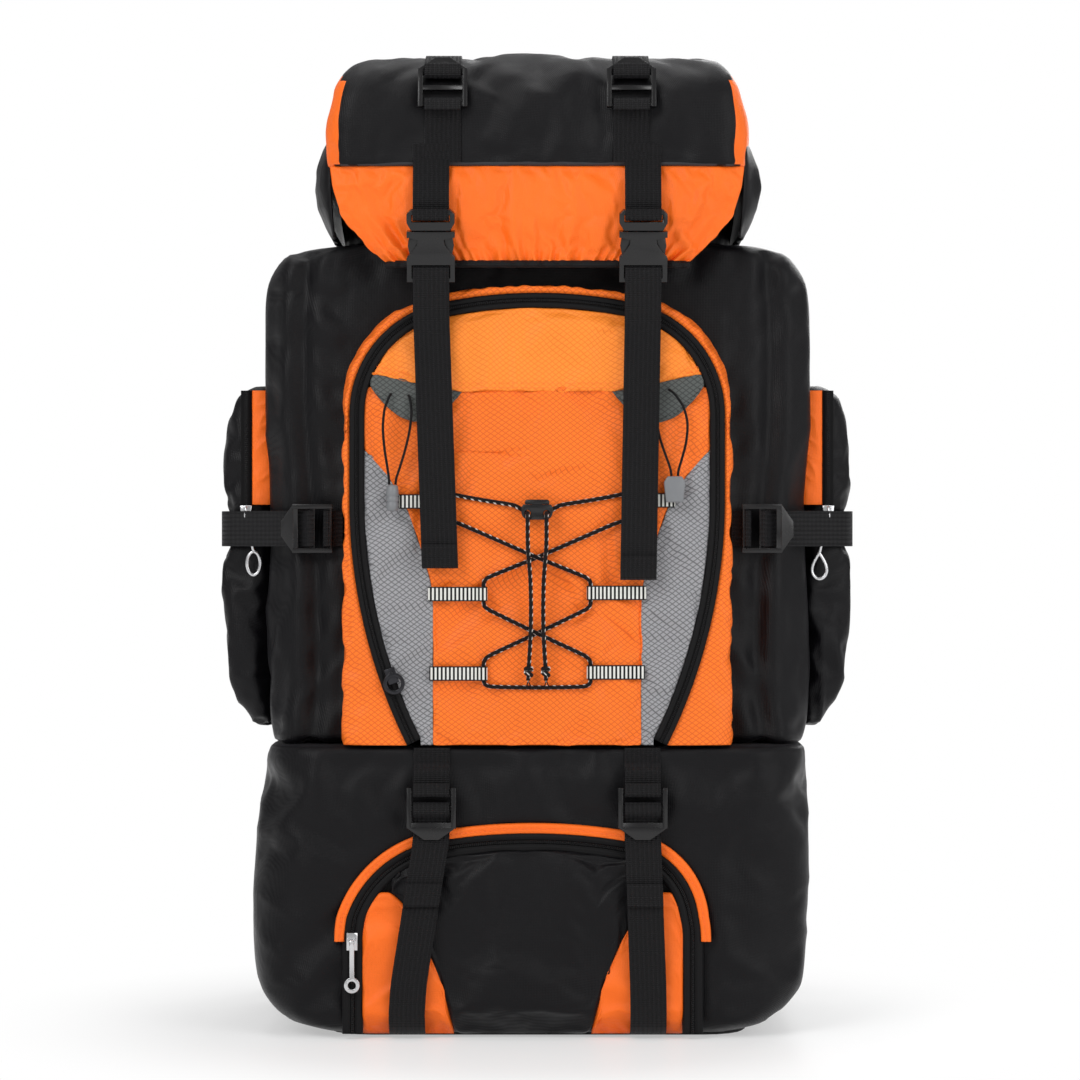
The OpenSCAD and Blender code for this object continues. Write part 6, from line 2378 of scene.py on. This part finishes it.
# ------------------------------------------------------------------ harness
@dataclass
class Pad:
    """A foam pad swept along a line, with air mesh on its inner side and a bound edge.

    Args:
        name: the piece's name.
        body: the body that it rides on.
        node: the solid that it replaces.
        line: its middle line.
        out: the direction of its outer side at each point of the line.
        half: half its width at each point.
        thick: its thickness.
        corner: its corners' radius.
        keep: a limit on where its cloth may be.
        mesh_out: whether the air mesh is on the outer side.
    """

    name: str
    body: str
    node: str
    line: Points
    out: Points
    half: Points
    thick: float
    corner: float = 18.0
    keep: Reach | None = None
    mesh_out: bool = False
    soft: Mesh = None
    edge: Points = None

    def build(self, billow: Billow) -> None:
        """Sweeps the pad and hands it to the simulation.

        Args:
            billow: the simulation.
        """
        length = distances(self.line)
        rows, around = max(12, int(length[-1] / 6)), 36
        t = np.linspace(0, 1, rows + 1)
        s = length[-1] * (0.55 * t + 0.45 * (0.5 - 0.5 * np.cos(math.pi * t)))
        centre, out, half = (stack([np.interp(s, length, a[:, k]) for k in range(a.shape[1])])
            for a in (self.line, self.out, self.half[:, None]))
        run = np.gradient(centre, axis=0)
        run /= np.linalg.norm(run, axis=1)[:, None]
        out -= run * (run * out).sum(axis=1)[:, None]
        out /= np.linalg.norm(out, axis=1)[:, None]
        across = np.cross(run, out)
        d = np.minimum(s, length[-1] - s)
        bow = np.sqrt(unit(1 - (1 - unit(d / self.corner)) ** 2))
        c = np.minimum(self.corner, half[:, 0])
        wide = half[:, 0] - c + c * bow
        deep = 0.5 * self.thick * np.sqrt(unit(1 - (1 - unit(d / 7.0)) ** 2))

        def surface(u: Values, v: Values) -> Points:
            """Places the pad's wall."""
            i, a = nearest(v, rows), u * math.tau
            x, y = oblong(a, 0.75, 0.55)
            return centre[i] + across[i] * (wide[i] * x)[:, None] + out[i] * (deep[i] * y)[:, None]

        pad = lay_sheet(self.name, around, rows, surface, (self.half.max() * 4, length[-1]))
        corners = np.empty(rows * around * 4, np.int32)
        pad.data.polygons.foreach_get("vertices", corners)
        column = corners.reshape(-1, 4) % (around + 1)
        inner = (column.min(axis=1) >= around // 2) != self.mesh_out
        fill_slots(pad, NYLON, PADDING)
        pad.data.polygons.foreach_set("material_index", inner.astype(np.int32))
        weld(pad)
        p = read_points(pad)
        rim = np.vstack([centre + across * wide[:, None], (centre - across * wide[:, None])[::-1]])
        gap = np.linalg.norm(p[:, None, :] - rim[None, ::2, :], axis=2).min(axis=1)
        self.edge, self.soft = np.vstack([rim, rim[:1]]), pad
        billow.add(pad, (gap < 4.0).astype(float), within(p, 3.0, self.keep), pressure=3.0, slack=0.04)

    def finish(self) -> None:
        """Rounds the pad, sews its channels and binds its edge."""
        subdivide(self.soft)
        p = read_points(self.soft)
        length = distances(self.line)
        near = np.linalg.norm(p[:, None, :] - spread(self.line, np.linspace(0, 1, 80))[None],
            axis=2).argmin(axis=1)
        along = near / 79 * length[-1]
        phase = np.abs((along / 46.0) % 1 - 0.5) * 46.0
        inside = unit((np.linalg.norm(p[:, None, :] - self.edge[None, ::2, :], axis=2).min(axis=1) - 5) / 5)
        swell(self.soft, inside * (-1.3 * np.exp(-(phase / 3.5) ** 2) + 0.25 * ripple(p, 12, 121)))
        if self.keep:
            write_points(self.soft, self.keep(read_points(self.soft)))
        dress(self.soft, self.body, "padding", nodes=[self.node])
        share = np.linspace(0, 1, max(40, int(length[-1] / 2.5)))
        bind = cord_tube(self.name + "_binding", spread(self.edge, share), 1.7, 8)
        dress(bind, self.body, "padding", BINDING)


@dataclass
class Harness:
    """The back pads, the shoulder straps, the hip belt, the chest strap and the haul loop."""

    pads: list = field(default_factory=list)
    top_z: float = 520.0
    back: float = 120.0
    side_line: tuple = ((3.5, -0.5), (20, 1), (38, -8), (52, -31), (61, -71), (63, -121), (58, -176),
        (48, -226), (46.2, -235.5))
    wing: tuple = (94.0, 141.1)
    wing_r: float = 70.5
    wing_turn: float = 75.0

    def build(self, billow: Billow) -> None:
        """Sweeps the pads and hands them to the simulation.

        Args:
            billow: the simulation.
        """
        def on_back(p: Points) -> Points:
            """Keeps a back pad between the bag and the wearer."""
            p[:, 1] = np.clip(p[:, 1], 120.1, 136.0)
            return p

        z = np.linspace(0, 1, 30)[:, None]
        for x, low, high, half, name in (
            (-63, 225, 506, 43, "left_back_pad"),
            (63, 225, 506, 43, "right_back_pad"),
            (0, 91, 205, 100, "lumbar_pad"),
        ):
            line = np.hstack([np.full_like(z, x), np.full_like(z, 127.3), low + z * (high - low)])
            self.pads.append(Pad(name, "root", "back_pads", line, np.tile([0.0, 1.0, 0.0], (30, 1)),
                np.full(30, float(half)), 14.0, 20.0, on_back, True))
        for side, name in SIDES:
            self.pads += [self._shoulder(side, name), self._wing(side, name)]
        for pad in self.pads:
            pad.build(billow)

    def shoulder_path(self, side: int) -> tuple[Points, Points, Points]:
        """Gives a shoulder pad's middle line, its outer directions and its half widths."""
        flat = flow([(0, self.back + y, self.top_z + z) for y, z in self.side_line], 6.0)
        drop = self.top_z - flat[:, 2]
        flat[:, 0] = side * np.interp(drop, [10, 46, 106, 166, 212, 236], [45, 51, 62, 76, 92, 104])
        run = np.gradient(flat, axis=0)
        out = stack([np.zeros(len(flat)), -run[:, 2], run[:, 1]])
        half = 31 * np.interp(drop, [10, 46, 106, 166, 212, 236], [0.42, 0.9, 1, 0.94, 0.8, 0.6])
        return flat, out, half

    def _shoulder(self, side: int, name: str) -> Pad:
        """Shapes a shoulder pad."""
        line, out, half = self.shoulder_path(side)
        return Pad(f"{name}_shoulder_pad", f"{name}_shoulder", f"{name}_shoulder_strap", line,
            out, half, 12.0, 12.0)

    def wing_path(self, side: int, start: float, end: float, lift: float = 0.0) -> tuple[Points, Points]:
        """Gives a line round a hip wing and its outer directions."""
        turn = np.radians(np.linspace(start, end, 24))
        r = self.wing_r + lift
        line = stack([side * (self.wing[0] + r * np.sin(turn)), self.wing[1] + self.wing_r - r * np.cos(turn),
            np.full(24, 126.0)])
        return line, stack([side * np.sin(turn), -np.cos(turn), np.zeros(24)])

    def _wing(self, side: int, name: str) -> Pad:
        """Shapes a hip wing."""
        line, out = self.wing_path(side, -3.0, self.wing_turn)
        half = np.interp(np.abs(line[:, 0]) - self.wing[0], [-5, 30, 90], [47.5, 47.5, 26])
        return Pad(f"{name}_hip_pad", f"{name}_hip", f"{name}_hip_wing", line, out, half, 12.6, 16.0)

    def finish(self) -> None:
        """Finishes the pads and runs the harness webbing."""
        for pad in self.pads:
            pad.finish()
        for side, name in SIDES:
            self._shoulder_webbing(side, name)
            self._hanging(side, name, "hip", "socket" if side < 0 else "latch")
            self._hanging(side, name, "sternum", "socket" if side < 0 else "latch")
        self._haul()

    def _shoulder_webbing(self, side: int, name: str) -> None:
        """Runs the webbing down a shoulder pad and from its foot back to the bag."""
        line, out, _ = self.shoulder_path(side)
        out /= np.linalg.norm(out, axis=1)[:, None]
        upper = (line + out * 7.3)[3:-3]
        body = f"{name}_shoulder"
        spine = strap(f"{name}_shoulder_spine", upper[::3], 25.0, ACROSS, 1.4, 3.0)
        dress(spine, body, "webbing", WEBBING, nodes=[f"{name}_shoulder_webbing"])
        rows = [(104, 166.2, 283.9, 25), (106, 164, 272, 25), (119, 138, 206, 25), (131, 129.5, 150, 25),
            (139, 127.3, 112, 25), (142.5, 125.6, 90, 18), (145, 122.4, 70, 3)]
        web = strap(f"{name}_shoulder_web", [(side * x, y, z, w) for x, y, z, w in rows], 25.0,
            (1, 0, 0.2 * side), 1.6, 3.0)
        dress(web, "", "webbing", WEBBING, nodes=[f"{name}_shoulder_webbing"])
        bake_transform(web)

    def _hanging(self, side: int, name: str, belt: str, half: str) -> None:
        """Hangs the webbing of a belt or chest buckle half.

        Args:
            side: -1 for the left, 1 for the right.
            name: the side's name.
            belt: hip or sternum.
            half: socket or latch.
        """
        paths = {"socket": [(4.3, 31), (4.3, 17.4), (2.8, 15.3), (-2.8, 15.3), (-4.3, 17.4), (-4.3, 27)],
            "latch": [(5.8, 34), (5.8, 18), (-5.8, 18), (-5.8, 30)]}
        k, width, top = (1.5, 38.0, 114.0) if belt == "hip" else (0.76, 19.0, 80.0)
        seat = 5.8 * k
        local = [(seat, top), (seat, 46 * k)] + [(k * y, k * z) for y, z in paths[half]]
        if belt == "hip":
            turn = math.radians(self.wing_turn)
            tip = np.array([self.wing[0] + self.wing_r * math.sin(turn),
                self.wing[1] + self.wing_r * (1 - math.cos(turn)), 30.0])
            ahead = np.array([-math.sin(turn), math.cos(turn), 0])
            aside = np.array([math.cos(turn), math.sin(turn), 0])
            start = tip + aside * (-width / 2 - 1) + ahead * (-7.6 - seat)
            body = f"{name}_hip"
        else:
            start, ahead, aside = np.array([56.0, 194.5, 369.0]), np.array([0, -1.0, 0]), np.array([-1.0, 0, 0])
            body = f"{name}_shoulder"
        flip = np.array([side, 1, 1])
        route = [(start + ahead * y + np.array([0, 0, z])) * flip for y, z in local]
        web = strap(f"{name}_{belt}_web", route, width, aside * flip, 1.6, 1.6)
        dress(web, body, "webbing", WEBBING, nodes=[f"{belt}_{half}_strap"])
        if belt == "hip":
            line, _ = self.wing_path(side, 16.0, self.wing_turn - 1.5, 7.4)
            dress(strap(f"{name}_hip_belt", line[::3], width, (0, 0, 1), 1.4, 3.0), body, "webbing", WEBBING)

    def _haul(self) -> None:
        """Folds the haul loop and rolls its middle into a grip."""
        turn = np.radians(np.linspace(0, 180, 40))
        line = stack([39 * np.cos(turn), np.full(40, 121.9), 537 + 39 * np.sin(turn)])
        rows, around = 60, 16
        shares = np.linspace(0, 1, rows + 1)
        centre = spread(line, shares)
        grip = np.exp(-((shares - 0.5) / 0.2) ** 4)
        ends = np.where((shares == 0) | (shares == 1), 0.0, 1.0)

        def surface(u: Values, v: Values) -> Points:
            """Places the loop's wall."""
            i, a = nearest(v, rows), u * math.tau
            radial = (centre[i] - [0, 121.9, 537]) / 39.0
            wide, deep = (9 - 2.4 * grip[i]) * ends[i], (1.4 + 2.6 * grip[i]) * ends[i]
            x, y = oblong(a, 0.6, 0.6)
            return centre[i] + radial * (wide * x)[:, None] + np.array([0, 1.0, 0]) * (deep * y + 2.6
                * grip[i])[:, None]

        loop = lay_sheet("haul_grip", around, rows, surface, (25.0, 122.0))
        weld(loop)
        subdivide(loop)
        dress(loop, "haul_loop", "webbing", WEBBING, nodes=["haul_loop"])


# ------------------------------------------------------------------ main
def main() -> None:
    """Builds the pack and its studio."""
    logging.basicConfig(level=logging.INFO, format="%(message)s")
    Studio().build()
    build_fittings()
    billow = Billow()
    cloth = [MainBag(), LowerCompartment(), SidePocket(-1), SidePocket(1), FrontPocket(), Lid(), Harness()]
    for part in cloth:
        part.build(billow)
    billow.run()
    for part in cloth:
        part.finish()
    Webbing().build()
    Lacing().build()
    ToolLoops().build()


if __name__ == "__main__":
    main()
